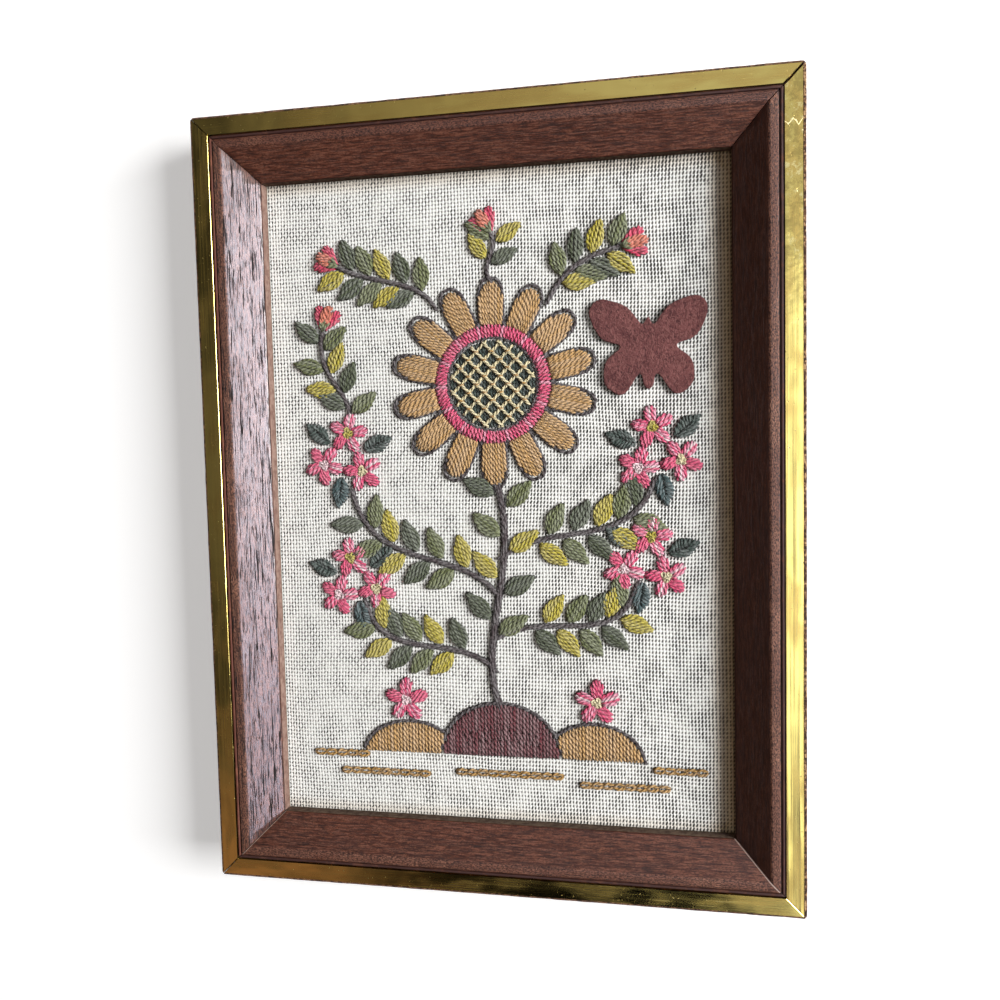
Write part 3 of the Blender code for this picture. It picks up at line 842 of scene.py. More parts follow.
def wood_section(rim):
    """The rim, the ledge under the brass, the bead, the quirk, the lip, the slope and the sight edge."""
    ledge = BRASS_THICKNESS + GAP
    quirk = BEAD_START + BEAD_WIDTH
    lip = quirk + QUIRK_WIDTH
    lip_end = lip + LIP_WIDTH
    back = LINEN_DEPTH - GAP
    return rounded([
        Corner(0, FRAME_DEPTH, 0.4),
        Corner(0, RIM_DEPTH, 0.3),
        Corner(rim, RIM_DEPTH, 0.1),
        Corner(rim, ledge, 0),
        Corner(BEAD_START, ledge, 0),
        Corner(BEAD_START, 0.1, 0.3),
        Corner(quirk, 0.1, 0.3),
        Corner(quirk, QUIRK_DEPTH, 0),
        Corner(lip, QUIRK_DEPTH, 0),
        Corner(lip, 0, 0.3),
        Corner(lip_end, 0, 0.25),
        on_slope(lip_end, 0.05),
        on_slope(lip_end, 0.5),
        on_slope(lip_end, 0.95),
        Corner(RAIL_WIDTH, SLOPE_DROP, 0.3),
        Corner(RAIL_WIDTH, back, 0.2),
        Corner(BACK_LAND, back, 0),
        Corner(BACK_LAND, FRAME_DEPTH, 0.3),
    ])


def brass_section(rim):
    """A thin strip beside the rim, its outer edge pressed down and its inner edge chamfered."""
    outer = rim + 0.08
    inner = BRASS_MARGIN + BRASS_WIDTH
    third = BRASS_WIDTH / 3
    return rounded([
        Corner(outer, BRASS_THICKNESS, 0),
        Corner(outer, BRASS_TILT, 0),
        Corner(outer + third, BRASS_TILT * 0.6, 0),
        Corner(inner - third, BRASS_TILT * 0.2, 0),
        Corner(inner - BRASS_CHAMFER, 0, 0),
        Corner(inner, BRASS_CHAMFER, 0),
        Corner(inner, BRASS_THICKNESS, 0),
    ])


def run_length(name, section, side, cuts, low_gap, high_gap):
    """Runs a section along one side, cuts it into stations and mitres its ends, each short by half a gap."""
    select_nothing()
    bpy.ops.mesh.primitive_circle_add(vertices=len(section), radius=MM, fill_type="NGON")
    piece = bpy.context.object
    piece.name = name
    half = side.length / 2
    for vertex, point in zip(piece.data.vertices, section):
        vertex.co = Vector((-half, point.y - FRAME_DEPTH, point.x)) * MM
    edit(piece)
    select_whole()
    bpy.ops.mesh.extrude_region_move(TRANSFORM_OT_translate={"value": (side.length * MM, 0, 0)})
    select_where(piece, "edges", lambda edge: abs(edge.verts[0].co.x - edge.verts[1].co.x) > half * MM)
    bpy.ops.mesh.subdivide(number_cuts=cuts)

    def bisect(end, reach, slant, **finish):
        select_whole()
        bpy.ops.mesh.bisect(plane_co=(end * reach * MM, 0, 0), plane_no=(end, 0, slant), **finish)

    reaches = {end: half - gap / 2 * math.sqrt(2) for end, gap in ((-1, low_gap), (1, high_gap))}
    for end, reach in reaches.items():
        for cut in CORNER_CUTS:
            bisect(end, half - cut, 0)
        bisect(end, reach - MITRE_ARRIS * math.sqrt(2), 1)
        bisect(end, reach, 1, use_fill=True, clear_outer=True)
    select_whole()
    bpy.ops.mesh.normals_make_consistent(inside=False)
    leave_edit()
    for vertex in piece.data.vertices:
        reach = reaches[-1 if vertex.co.x < 0 else 1]
        to_mitre = reach * MM - (abs(vertex.co.x) + vertex.co.z)
        if abs(to_mitre) < TOUCH * MM and vertex.co.y < LIT_FRONT_Y * MM:
            vertex.co.y += MITRE_DROP * MM
    return piece


def stand_in_place(piece, side):
    """Turns a length to its side of the frame, and rounds the frame's outer corners."""
    piece.data.transform(Matrix.Rotation(side.turn, 4, "Y"))
    piece.data.transform(Matrix.Translation(Vector(side.location) * MM))
    for vertex in piece.data.vertices:
        past_x = abs(vertex.co.x) / MM - (OUTER_WIDTH / 2 - CORNER_RADIUS)
        past_z = abs(vertex.co.z / MM - CENTRE_Z) - (OUTER_HEIGHT / 2 - CORNER_RADIUS)
        if past_x > 0 and past_z > 0:
            shrink = 1 - max(past_x, past_z) / math.hypot(past_x, past_z)
            vertex.co.x -= math.copysign(past_x * shrink * MM, vertex.co.x)
            vertex.co.z -= math.copysign(past_z * shrink * MM, vertex.co.z - CENTRE_Z * MM)
    piece.data.update()


def wear(piece, front_y, depth, size, seed):
    """Wobbles the points near the face by up to depth, over lumps of a size."""
    for vertex in piece.data.vertices:
        if vertex.co.y < front_y * MM:
            lump = noise.noise(vertex.co / (size * MM) + Vector((seed, 0, 0)))
            vertex.co += vertex.normal * (lump * depth * MM)


def make_rail(side, seed, materials):
    """One rail. Its materials are for the wood, the bead, the rim and the sight edge."""
    rail = run_length("moulding_" + side.name, wood_section(side.rim), side, WOOD_CUTS, WOOD_GAP, WOOD_GAP)
    for material in materials:
        rail.data.materials.append(material)
    for face in rail.data.polygons:
        inset = face.center.z / MM
        depth = face.center.y / MM + FRAME_DEPTH
        if BEAD_START < inset < BEAD_START + BEAD_WIDTH and depth < 0.4:
            face.material_index = 1
        elif inset < side.rim + TOUCH and depth < 0.8:
            face.material_index = 2
        elif inset > RAIL_WIDTH - TOUCH and depth > SLOPE_DROP:
            face.material_index = 3
    wear(rail, LIT_FRONT_Y, depth=0.07, size=3.5, seed=seed * 7)
    wear(rail, FACE_FRONT_Y, depth=0.05, size=0.9, seed=seed * 11)
    stand_in_place(rail, side)
    shade_smooth(rail, 34)
    dress(rail, "wood", "rail_" + side.name)


def make_strip(side, seed, material):
    """One brass strip. The mitre at the top right stands open."""
    low_gap = BRASS_OPEN_GAP if side.name == "top" else BRASS_GAP
    high_gap = BRASS_OPEN_GAP if side.name == "right" else BRASS_GAP
    strip = run_length("strip_" + side.name, brass_section(side.rim), side, BRASS_CUTS, low_gap, high_gap)
    strip.data.materials.append(material)
    wear(strip, STRIP_FRONT_Y, depth=0.035, size=9, seed=50 + seed * 5)
    stand_in_place(strip, side)
    shade_smooth(strip, 18)
    dress(strip, "brass", "brass_" + side.name)


def make_frame():
    half_width = OUTER_WIDTH / 2
    half_height = OUTER_HEIGHT / 2
    sides = [
        Side("bottom", 0, OUTER_WIDTH, (0, 0, CENTRE_Z - half_height), 0, RIM_NARROW),
        Side("left", 2, OUTER_HEIGHT, (-half_width, 0, CENTRE_Z), math.pi / 2, RIM_NARROW),
        Side("top", 0, OUTER_WIDTH, (0, 0, CENTRE_Z + half_height), math.pi, RIM_NARROW),
        Side("right", 2, OUTER_HEIGHT, (half_width, 0, CENTRE_Z), -math.pi / 2, RIM_WIDE),
    ]
    # Each rail's tone sets the painted shade on its slope. The right rail faces away from the window and gets
    # the most.
    woods = {
        "bottom": wood_finish("wood_bottom", 0, tone=0.95, lacquer=0.7, slits=0.4, worn=0.6, mitre_highlight=0.75),
        "left": wood_finish("wood_left", 2, tone=1.0, lacquer=1.0, slits=1.0, worn=0.8),
        "top": wood_finish("wood_top", 0, tone=0.9, lacquer=0.25, slits=0.35, worn=0.4),
        "right": wood_finish("wood_right", 2, tone=0.25, lacquer=0.05, slits=0.3, worn=0.8),
    }
    brasses = {0: brass_finish("brass_level", 0), 2: brass_finish("brass_upright", 2)}
    bead = bead_finish("bead", tint(58, 27, 20), tint(120, 74, 52))
    # Painted light: the left bead, which faces the window, is a lighter copy of the bead.
    lit_left_bead = bead_finish("bead_left_lit", tint(98, 50, 34), tint(160, 104, 78))
    rims = {RIM_NARROW: rim_finish("rim", 0.25), RIM_WIDE: rim_finish("rim_crumbled", 1.0)}
    sights = {
        0: sight_finish("sight_level", tint(100, 80, 66), tint(146, 124, 104)),
        2: sight_finish("sight_upright", tint(130, 98, 86), tint(172, 142, 128)),
    }
    for seed, side in enumerate(sides):
        edge_bead = lit_left_bead if side.name == "left" else bead
        make_rail(side, seed, [woods[side.name], edge_bead, rims[side.rim], sights[side.along]])
        make_strip(side, seed, brasses[side.along])


# Linen

def weave():
    """A grid with a point at each crossing, thread and hole of the weave. Its UV map counts threads."""
    columns = 2 * round(WEAVE_WIDTH / WARP_PITCH)
    rows = 2 * round(WEAVE_HEIGHT / WEFT_PITCH)
    select_nothing()
    bpy.ops.mesh.primitive_grid_add(x_subdivisions=columns, y_subdivisions=rows, size=1)
    linen = bpy.context.object
    linen.name = "linen_weave"
    mesh = linen.data
    count = len(mesh.vertices)
    spots = np.empty(count * 3)
    mesh.vertices.foreach_get("co", spots)
    spots = spots.reshape(-1, 3)
    column = np.rint((spots[:, 0] + 0.5) * columns)
    row = np.rint((spots[:, 1] + 0.5) * rows)
    x = (column / columns - 0.5) * WEAVE_WIDTH
    z = (row / rows - 0.5) * WEAVE_HEIGHT
    from_side = np.clip((WEAVE_WIDTH / 2 - np.abs(x)) / EDGE_FADE, 0, 1)
    from_end = np.clip((WEAVE_HEIGHT / 2 - np.abs(z)) / EDGE_FADE, 0, 1)
    inside = from_side * from_end
    drift_x = 0.55 * np.sin(z / 23 + 0.6) + 0.28 * np.sin(z / 9.5 + x / 31) + 0.09 * np.sin(z / 3.7 + x / 8)
    drift_z = 0.65 * np.sin(x / 27 + 1.9) + 0.30 * np.sin(x / 11 + z / 37) + 0.10 * np.sin(x / 4.3 + z / 9)
    crossing = np.where((column + row) % 4 == 0, WARP_RISE, WEFT_RISE)
    relief = np.where((column + row) % 2 == 1, 0.0, np.where(column % 2 == 1, -HOLE_DIP, crossing))
    ripple = RIPPLE_RISE * np.sin(x / 17 + z / 29)
    placed = np.stack([
        x + drift_x * inside,
        LINEN_FACE_Y - relief - ripple * inside,
        CENTRE_Z + z + drift_z * inside,
    ], axis=1) * MM
    mesh.vertices.foreach_set("co", placed.ravel())
    corner_vertices = np.empty(len(mesh.loops), dtype=np.int64)
    mesh.loops.foreach_get("vertex_index", corner_vertices)
    threads = mesh.uv_layers.new(name="threads")
    counted = np.stack([column[corner_vertices] / 2, row[corner_vertices] / 2], axis=1)
    threads.data.foreach_set("uv", counted.ravel())
    mesh.update()
    return linen


def make_linen():
    """The stretched cloth, with a plain border that lies under the rails."""
    linen = weave()
    mesh = linen.data
    cut_width = SIGHT_WIDTH + 2 * LINEN_TUCK
    cut_height = SIGHT_HEIGHT + 2 * LINEN_TUCK
    edit(linen)
    select_where(linen, "edges", lambda edge: edge.is_boundary)
    bpy.ops.mesh.extrude_region_move(TRANSFORM_OT_translate={"value": (0, 0, 0)})
    shape = bmesh.from_edit_mesh(mesh)
    for vertex in shape.verts:
        if vertex.select:
            vertex.co.x *= cut_width / WEAVE_WIDTH
            vertex.co.z = (CENTRE_Z + (vertex.co.z / MM - CENTRE_Z) * cut_height / WEAVE_HEIGHT) * MM
            vertex.co.y = LINEN_FACE_Y * MM
    bmesh.update_edit_mesh(mesh)
    bpy.ops.mesh.extrude_region_move(TRANSFORM_OT_translate={"value": (0, LINEN_THICKNESS * MM, 0)})
    bpy.ops.mesh.edge_face_add()
    select_whole()
    bpy.ops.mesh.normals_make_consistent(inside=False)
    leave_edit()
    shade_smooth(linen, 80)
    mesh.materials.clear()
    mesh.materials.append(linen_finish())
    linen.visible_diffuse = False
    linen.visible_glossy = False
    dress(linen, "linen", "linen")


# Stitching

class Work:
    """Strands of wool that are sewn into one piece."""

    def __init__(self, name, seed):
        self.name = name
        self.draw = random.Random(seed)
        self.points = []
        self.faces = []
        self.face_yarns = []
        self.uvs = []
        self.shades = []
        self.count = 0
        self.yarn_names = []

    def tube(self, path, girths, yarn, flat=1.0):
        """A twisted strand along a path of x, z and height off the linen."""
        path = np.asarray(path, dtype=float)
        steps = len(path)
        headings = np.gradient(path, axis=0)
        headings /= np.linalg.norm(headings, axis=1)[:, None]
        across = np.cross(headings, (0.0, 0.0, 1.0))
        across /= np.maximum(np.linalg.norm(across, axis=1), 1e-6)[:, None]
        above = np.cross(across, headings)
        travel = np.concatenate([[0], np.cumsum(np.linalg.norm(np.diff(path, axis=0), axis=1))])
        turn = 2 * math.pi * (travel / TWIST_LENGTH + self.draw.random())
        spoke = 2 * math.pi * np.arange(STRAND_SIDES) / STRAND_SIDES
        long_way = PLY_LONG * np.cos(spoke)
        short_way = PLY_SHORT * np.sin(spoke)
        turn_cos = np.cos(turn)[:, None]
        turn_sin = np.sin(turn)[:, None]
        out = (long_way * turn_cos - short_way * turn_sin) * girths[:, None]
        rise = (long_way * turn_sin + short_way * turn_cos) * girths[:, None] * flat
        ring = path[:, None, :] + across[:, None, :] * out[..., None] + above[:, None, :] * rise[..., None]
        self.points.append(ring.reshape(-1, 3))
        if yarn not in self.yarn_names:
            self.yarn_names.append(yarn)
        step, side = (index.ravel() for index in np.indices((steps - 1, STRAND_SIDES)))
        after = (side + 1) % STRAND_SIDES
        first = self.count
        here = first + step * STRAND_SIDES
        there = here + STRAND_SIDES
        quads = np.stack([here + side, there + side, there + after, here + after], axis=1)
        self.faces.extend(quads.tolist())
        offset = self.draw.random() * 50
        low_u = travel[step] + offset
        high_u = travel[step + 1] + offset
        low_v = side / STRAND_SIDES
        high_v = (side + 1) / STRAND_SIDES
        loops = np.stack([low_u, low_v, high_u, low_v, high_u, high_v, low_u, high_v], axis=1)
        self.uvs.append(loops.reshape(-1, 2))
        last = first + (steps - 1) * STRAND_SIDES
        self.faces.append([first + i for i in range(STRAND_SIDES)])
        self.faces.append([last + i for i in reversed(range(STRAND_SIDES))])
        self.uvs.append(np.zeros((2 * STRAND_SIDES, 2)))
        self.face_yarns.extend([self.yarn_names.index(yarn)] * (len(quads) + 2))
        self.shades.append(np.full(steps * STRAND_SIDES, self.draw.random()))
        self.count += steps * STRAND_SIDES

    def strand(self, start, end, yarn, lift, width=STRAND_WIDTH, bow=0.0, loose=0.06):
        """One stitch, which comes up through the linen, lies across it and goes down again."""
        start = np.array([start[0], start[1]]) + [self.draw.uniform(-loose, loose) for _ in range(2)]
        end = np.array([end[0], end[1]]) + [self.draw.uniform(-loose, loose) for _ in range(2)]
        reach = np.linalg.norm(end - start)
        steps = max(6, round(reach / RING_SPACING)) + 1
        share = np.linspace(0, 1, steps)
        share = share - 0.08 * np.sin(2 * math.pi * share)
        near_end = np.abs(2 * share - 1)
        steepness = max(2.0, reach * 1.1)
        arch = np.sqrt(np.clip(1 - near_end**steepness, 0, 1))
        heading = (end - start) / max(reach, 1e-6)
        beside = np.array([-heading[1], heading[0]])
        sway = bow * 4 * share * (1 - share)
        plan = start + (end - start) * share[:, None] + beside * sway[:, None]
        high = lift * self.draw.uniform(0.93, 1.07)
        height = STRAND_ROOT + (high - STRAND_ROOT) * arch
        path = np.column_stack([plan, height])
        lumps = [self.draw.uniform(0.90, 1.10) for _ in share]
        girths = width * (0.62 + 0.38 * arch) * self.draw.uniform(0.92, 1.08) * lumps
        self.tube(path, girths, yarn, flat=0.92)

    def knot(self, x, z, yarn):
        """A wrapped knot: the strand winds round itself and goes down through its middle."""
        share = np.linspace(0, 1, KNOT_STEPS)
        turn = self.draw.uniform(0, 2 * math.pi) + share * 2 * math.pi * KNOT_TURNS
        sunk = np.clip((share - KNOT_WRAPPED) / (1 - KNOT_WRAPPED), 0, 1)
        reach = KNOT_RADIUS * (1 - 0.9 * sunk)
        height = 0.45 + 0.75 * share - sunk
        path = np.column_stack([x + reach * np.cos(turn), z + reach * np.sin(turn), height])
        self.tube(path, 0.92 * np.where(share < 0.08, 0.7, 1.0), yarn)

    def piece(self):
        """Builds the mesh of all the strands and puts it on the linen."""
        points = np.concatenate(self.points)
        world = np.stack([points[:, 0], LINEN_FACE_Y - points[:, 2], CENTRE_Z + points[:, 1]], axis=1) * MM
        mesh = bpy.data.meshes.new(self.name)
        mesh.from_pydata(world.tolist(), [], self.faces)
        for yarn in self.yarn_names:
            mesh.materials.append(yarns[yarn])
        mesh.polygons.foreach_set("material_index", self.face_yarns)
        layer = mesh.uv_layers.new(name="strand")
        layer.data.foreach_set("uv", np.concatenate(self.uvs).ravel())
        shade = mesh.attributes.new("shade", "FLOAT", "POINT")
        shade.data.foreach_set("value", np.concatenate(self.shades).astype(np.float32))
        mesh.shade_smooth()
        mesh.update()
        piece = bpy.data.objects.new(self.name, mesh)
        bpy.context.scene.collection.objects.link(piece)
        return dress(piece, "wool")


def at_angle(angle):
    return Vector((math.cos(angle), math.sin(angle)))


def turned(direction, angle):
    return Vector((
        direction.x * math.cos(angle) - direction.y * math.sin(angle),
        direction.x * math.sin(angle) + direction.y * math.cos(angle),
    ))


def square_to(direction):
    return Vector((-direction.y, direction.x))


def curve_point(stem, share):
    """A point on a stem's curve, and the direction that the curve runs in there."""
    a, b, c, d = (Vector(p) for p in (stem.start, stem.pull_a, stem.pull_b, stem.end))
    rest = 1 - share
    place = a * rest**3 + b * 3 * rest**2 * share + c * 3 * rest * share**2 + d * share**3
    heading = (b - a) * rest**2 + (c - b) * 2 * rest * share + (d - c) * share**2
    return place, heading.normalized()


def rope(work, points, width, yarn, lift, spacing=1.15, reach=1.9):
    """Stem stitch along a line: short slanting strands that overlap like the lays of a rope."""
    lengths = [0.0]
    for a, b in zip(points, points[1:]):
        lengths.append(lengths[-1] + (b - a).length)
    total = lengths[-1]
    count = max(2, round(total / spacing))
    index = 0
    for i in range(count + 1):
        travel = total * i / count
        while index < len(lengths) - 2 and lengths[index + 1] < travel:
            index += 1
        heading = (points[index + 1] - points[index]).normalized()
        place = points[index] + heading * (travel - lengths[index])
        slant = square_to(heading) * max(0.0, width - STRAND_WIDTH) / 2
        start = place - heading * reach + slant
        end = place + heading * reach - slant
        work.strand(start, end, yarn, lift=lift)


def chain(work, start, end, yarn, width):
    """Chain stitch: a row of loops, each drawn through the one before."""
    direction = (end - start).normalized()
    count = round((end - start).length / CHAIN_LINK)
    for i in range(count):
        here = start + (end - start) * (i / count)
        there = start + (end - start) * ((i + 1) / count) + direction * 0.5
        for side in (1, -1):
            edge = square_to(direction) * side * 0.18
            bow = side * (width / 2 - 0.6)
            work.strand(here + edge, there + edge, yarn, lift=0.75, width=0.9, bow=bow, loose=0.03)


def fishbone(work, base, direction, length, yarn, lift):
    """A leaf of slanting stitches that meet along its midrib."""
    half = length * LEAF_SLENDER / 2
    beside = square_to(direction)
    count = max(4, round(length * 0.84 / STRAND_PITCH))
    for i in range(count):
        root = 0.02 + 0.74 * i / (count - 1)
        edge = min(0.97, root + 0.24)
        for side in (1, -1):
            inner = base + direction * length * root + beside * side * 0.12
            outer = base + direction * length * edge + beside * side * half * math.sin(math.pi * edge)
            work.strand(inner, outer, yarn, lift=lift)
    work.strand(base + direction * length * 0.66, base + direction * length, yarn, lift=lift)


def long_leaf(work, base, direction, length, yarn, lift):
    """A leaf of long stitches that run from its foot to its tip and bow out at its sides."""
    half = length * LEAF_SLENDER / 2 - STRAND_WIDTH / 2
    beside = square_to(direction)
    count = max(4, round(2 * half / STRAND_PITCH) + 1)
    for i in range(count):
        share = 2 * i / (count - 1) - 1
        start = base + direction * length * (0.02 + 0.08 * abs(share)) + beside * share * half * 0.30
        end = base + direction * length * (1.0 - 0.20 * share**2) + beside * share * half * 0.42
        high = lift * (1.12 - 0.25 * abs(share))
        work.strand(start, end, yarn, lift=high, bow=share * half * 0.60, loose=0.14)


def fan(work, base, direction, length, width, count, yarns_used, lift, foot):
    """A petal of stitches that spread from its foot."""
    beside = square_to(direction)
    for i in range(count):
        share = 2 * (i + 0.5) / count - 1
        start = base + beside * share * width / 2 * foot
        tip_along = length * (1 - 0.42 * abs(share) ** 2.4)
        end = base + direction * tip_along + beside * share * width / 2 * 0.86
        work.strand(start, end, yarns_used[i % len(yarns_used)], lift=lift)


def sew_stems():
    work = Work("stems", 11)
    for stem in STEMS:
        points = [curve_point(stem, i / STEM_STEPS)[0] for i in range(STEM_STEPS + 1)]
        rope(work, points, stem.width, "bark", lift=0.62)
    work.piece()


def sew_leaves():
    work = Work("leaves", 12)
    for spray_number, spray in enumerate(SPRAYS):
        stem = STEM_NAMED[spray.stem]
        for i in range(spray.pairs):
            step = i / (spray.pairs - 1)
            share = spray.first + (spray.last - spray.first) * step
            for side in (1, -1):
                place, heading = curve_point(stem, share + side * LEAF_STAGGER)
                direction = turned(heading, side * LEAF_ANGLE)
                base = place + direction * stem.width * LEAF_CLEARANCE
                choice = (i + spray_number + (side > 0)) % 3
                yarn = ("olive", "dark_olive", "mustard")[choice]
                long_leaf(work, base, direction, spray.leaf_length, yarn, lift=0.85)
    for cluster in CLUSTERS:
        centre = Vector((cluster.x, cluster.z))
        for i in range(CLUSTER_BLOSSOMS):
            direction = at_angle(math.radians(cluster.turn + 360 / CLUSTER_BLOSSOMS * (i + 0.5)))
            base = centre + direction * COLLAR_START
            yarn = "teal" if i % 2 else "dark_green"
            fishbone(work, base, direction, COLLAR_LEAF_LENGTH, yarn, lift=0.8)
    work.piece()


def circle_points(centre, radius, count):
    return [centre + at_angle(2 * math.pi * i / count) * radius for i in range(count + 1)]


def sew_great_petals():
    centre = Vector(GREAT_FLOWER)
    petals = Work("great_petals", 13)
    edges = Work("petal_edges", 14)
    for i in range(GREAT_PETALS):
        direction = at_angle(math.pi / 2 + 2 * math.pi * i / GREAT_PETALS)
        base = centre + direction * GREAT_RING_RADIUS
        length = GREAT_PETAL_LENGTH - 0.9
        width = GREAT_PETAL_WIDTH - 1.2
        fan(petals, base, direction, length, width, 9, ["tan"], lift=0.85, foot=0.72)
        beside = square_to(direction)
        outline = []
        for share in np.linspace(-1, 1, 13).tolist():
            along = GREAT_PETAL_LENGTH * (1 - abs(share) ** 3.0) ** 0.62
            spread = GREAT_PETAL_WIDTH / 2 * (share * (0.72 + 0.28 * (1 - abs(share) ** 4)))
            outline.append(base + direction * along + beside * spread)
        rope(edges, outline, STRAND_WIDTH, "bark", lift=0.5, spacing=2.0, reach=1.15)
    petals.piece()
    edges.piece()


def sew_flower_ring():
    centre = Vector(GREAT_FLOWER)
    ring = Work("flower_ring", 15)
    count = round(2 * math.pi * (GREAT_DISC_RADIUS + GREAT_RING_RADIUS) / 2 / STRAND_PITCH)
    for i in range(count):
        direction = at_angle(2 * math.pi * i / count)
        yarn = "hot_pink" if i % 7 else "light_pink"
        inner = centre + direction * (GREAT_DISC_RADIUS + 0.1)
        ring.strand(inner, centre + direction * GREAT_RING_RADIUS, yarn, lift=0.9)
    edge = circle_points(centre, GREAT_DISC_RADIUS, 60)
    rope(ring, edge, STRAND_WIDTH, "bark", lift=0.55, spacing=2.2, reach=1.3)
    ring.piece()


def sew_flower_middle():
    """Close dark stitches under a tied lattice."""
    centre = Vector(GREAT_FLOWER)
    middle = Work("flower_middle", 16)
    radius = GREAT_DISC_RADIUS - 0.7
    count = round(2 * radius / STRAND_PITCH)
    for i in range(count):
        x = radius * (2 * (i + 0.5) / count - 1)
        half = math.sqrt(radius**2 - x**2)
        pieces = max(1, round(2 * half / 9))
        for j in range(pieces):
            low = -half + 2 * half * j / pieces
            high = -half + 2 * half * (j + 1) / pieces
            start = centre + Vector((x, low - (0.3 if j else 0)))
            end = centre + Vector((x, high + (0.3 if j < pieces - 1 else 0)))
            middle.strand(start, end, "dark_green", lift=0.25)
    lines = math.floor(radius / LATTICE_PITCH)
    rising = at_angle(math.radians(45))
    falling = at_angle(math.radians(135))
    for direction, level in ((rising, 0.78), (falling, 1.05)):
        beside = square_to(direction)
        for k in range(-lines, lines + 1):
            offset = k * LATTICE_PITCH
            half = math.sqrt(radius**2 - offset**2)
            spot = centre + beside * offset
            middle.strand(spot - direction * half, spot + direction * half, "cream", lift=level, width=0.95)
    for a in range(-lines, lines + 1):
        for b in range(-lines, lines + 1):
            place = centre + (rising * a + falling * b) * LATTICE_PITCH
            if (place - centre).length < radius - 0.8:
                middle.strand(place - TIE_REACH, place + TIE_REACH, "gold", lift=1.55, width=0.7)
    middle.piece()


def all_blossoms():
    blossoms = list(GROUND_BLOSSOMS)
    for cluster in CLUSTERS:
        for i in range(CLUSTER_BLOSSOMS):
            angle = cluster.turn + 360 / CLUSTER_BLOSSOMS * i
            place = Vector((cluster.x, cluster.z)) + at_angle(math.radians(angle)) * CLUSTER_SPREAD
            blossoms.append(Blossom(place.x, place.y, BLOSSOM_PETAL_LENGTH, angle))
    return blossoms


def sew_blossoms():
    petals = Work("blossoms", 17)
    knots = Work("knots", 18)
    for number, blossom in enumerate(all_blossoms()):
        centre = Vector((blossom.x, blossom.z))
        width = blossom.petal_length * PETAL_WIDTH_SHARE
        for i in range(BLOSSOM_PETALS):
            direction = at_angle(math.radians(blossom.turn) + 2 * math.pi * i / BLOSSOM_PETALS)
            base = centre + direction * BLOSSOM_HEART * 0.8
            mixed = PETAL_YARNS[(number + i) % 3]
            fan(petals, base, direction, blossom.petal_length, width, 5, mixed, lift=0.95, foot=0.5)
        yarn = ("pale_pink", "cream", "mustard")[number % 3]
        for i in range(3):
            spot = centre + at_angle(2 * math.pi * i / 3 + number) * 0.85
            knots.knot(spot.x, spot.y, yarn)
    petals.piece()
    knots.piece()


def sew_buds():
    work = Work("buds", 19)
    width = BUD_PETAL_LENGTH * BUD_WIDTH_SHARE
    for name in BUD_STEMS:
        tip, heading = curve_point(STEM_NAMED[name], 1.0)
        for i in (-1, 1, 0):
            direction = turned(heading, i * BUD_FAN)
            mixed = ["coral"] if i == 0 else ["red_pink"]
            lift = 1.2 if i == 0 else 0.8
            fan(work, tip, direction, BUD_PETAL_LENGTH, width, 5, mixed, lift=lift, foot=0.4)
        for i in (-1, 0, 1):
            direction = turned(heading, i * BUD_FAN * 1.2)
            work.strand(tip - heading * 0.8, tip + direction * 2.6, "olive", lift=1.35)
    work.piece()


def dome_top(hillock, x):
    """The height of a hillock's outline at x, or its foot beside it."""
    share = (x - hillock.x) / hillock.half_width
    return hillock.z + hillock.rise * math.sqrt(max(0.0, 1 - share**2))


def sew_ground():
    hills = Work("hillocks", 20)
    colours = {"middle": "maroon", "left": "tan", "right": "tan"}
    front = HILLOCKS[0]
    for hillock in HILLOCKS:
        yarn = colours[hillock.name]
        width = hillock.half_width - 0.6
        count = round(2 * width / STRAND_PITCH)
        for i in range(count):
            share = 2 * (i + 0.5) / count - 1
            x = hillock.x + share * width
            top = hillock.rise * math.sqrt(max(0.0, 1 - share**2)) - 0.4
            foot = 0.0 if hillock is front else max(0.0, dome_top(front, x) - hillock.z)
            run = top - foot
            if run < 1.2:
                continue
            tiers = max(1, round(run / 7))
            shift = 0.5 if i % 2 else 0.0
            marks = [0.0] + [(j + 1 - shift * 0.8) / tiers for j in range(tiers - 1)] + [1.0]
            for low, high in zip(marks, marks[1:]):
                base = hillock.z + foot
                hills.strand((x, base + run * low), (x, base + run * high), yarn, lift=0.72)
        arc = []
        for i in range(25):
            direction = at_angle(math.pi * (0.05 + 0.90 * i / 24))
            reach = Vector((direction.x * hillock.half_width, direction.y * hillock.rise))
            place = Vector((hillock.x, hillock.z)) + reach
            if hillock is front or place.y > dome_top(front, place.x) + 0.6:
                arc.append(place)
        rope(hills, arc, STRAND_WIDTH, "bark", lift=0.6, spacing=2.2, reach=1.3)
    hills.piece()
    lines = Work("ground_lines", 21)
    for line in GROUND_LINES:
        start = Vector((line.x - line.length / 2, line.z))
        chain(lines, start, start + Vector((line.length, 0)), "gold", GROUND_LINE_WIDTH)
    lines.piece()


# Felt

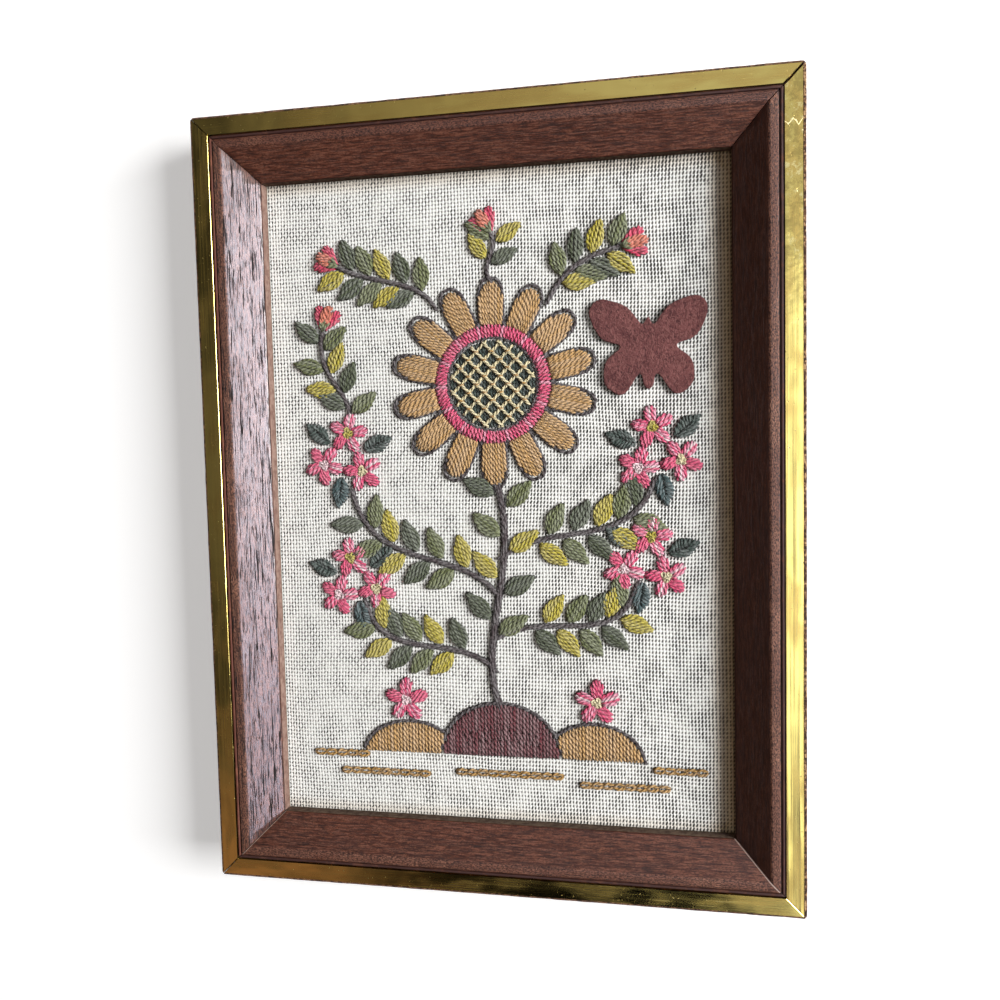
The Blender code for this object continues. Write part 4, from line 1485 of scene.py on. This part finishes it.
def smooth_outline(points, steps):
    """A smooth closed outline through the points."""
    outline = []
    count = len(points)
    for i in range(count):
        a, b, c, d = (Vector(points[(i + k) % count]) for k in (-1, 0, 1, 2))
        for step in range(steps):
            t = step / steps
            outline.append(0.5 * (
                2 * b + (c - a) * t + (2 * a - 5 * b + 4 * c - d) * t**2 + (3 * b - a - 3 * c + d) * t**3
            ))
    return outline


def make_felt():
    """The figure, cut from thick felt and remeshed so that its face can be uneven."""
    mirrored = [(-x, z) for x, z in WING_POINTS[-2:0:-1]]
    outline = smooth_outline(WING_POINTS + mirrored, FELT_STEPS)
    back_y = LINEN_FACE_Y - GAP
    select_nothing()
    bpy.ops.mesh.primitive_circle_add(vertices=len(outline), radius=MM, fill_type="NGON")
    felt = bpy.context.object
    felt.name = "butterfly_felt"
    for vertex, point in zip(felt.data.vertices, outline):
        vertex.co = Vector((FELT_CENTRE[0] + point.x, back_y, CENTRE_Z + FELT_CENTRE[1] + point.y)) * MM
    edit(felt)
    select_whole()
    bpy.ops.mesh.extrude_region_move(TRANSFORM_OT_translate={"value": (0, -FELT_THICKNESS * MM, 0)})
    select_whole()
    bpy.ops.mesh.normals_make_consistent(inside=False)
    leave_edit()
    felt.data.remesh_voxel_size = 0.34 * MM
    bpy.ops.object.voxel_remesh()
    smooth = felt.modifiers.new("soft_edges", "SMOOTH")
    smooth.factor = 0.5
    smooth.iterations = 3
    bpy.ops.object.modifier_apply(modifier=smooth.name)
    for vertex in felt.data.vertices:
        lump = noise.noise(vertex.co / (2.4 * MM)) * 0.10 + noise.noise(vertex.co / (0.7 * MM)) * 0.06
        vertex.co += vertex.normal * (lump * MM)
    felt.data.shade_smooth()
    felt.data.materials.append(felt_finish())
    dress(felt, "felt", "felt_butterfly")


make_camera()
make_stage()
make_light()
make_frame()
make_linen()
sew_stems()
sew_leaves()
sew_great_petals()
sew_flower_ring()
sew_flower_middle()
sew_blossoms()
sew_buds()
sew_ground()
make_felt()
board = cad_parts["backing_board"]
board.data.materials.clear()
board.data.materials.append(board_finish())
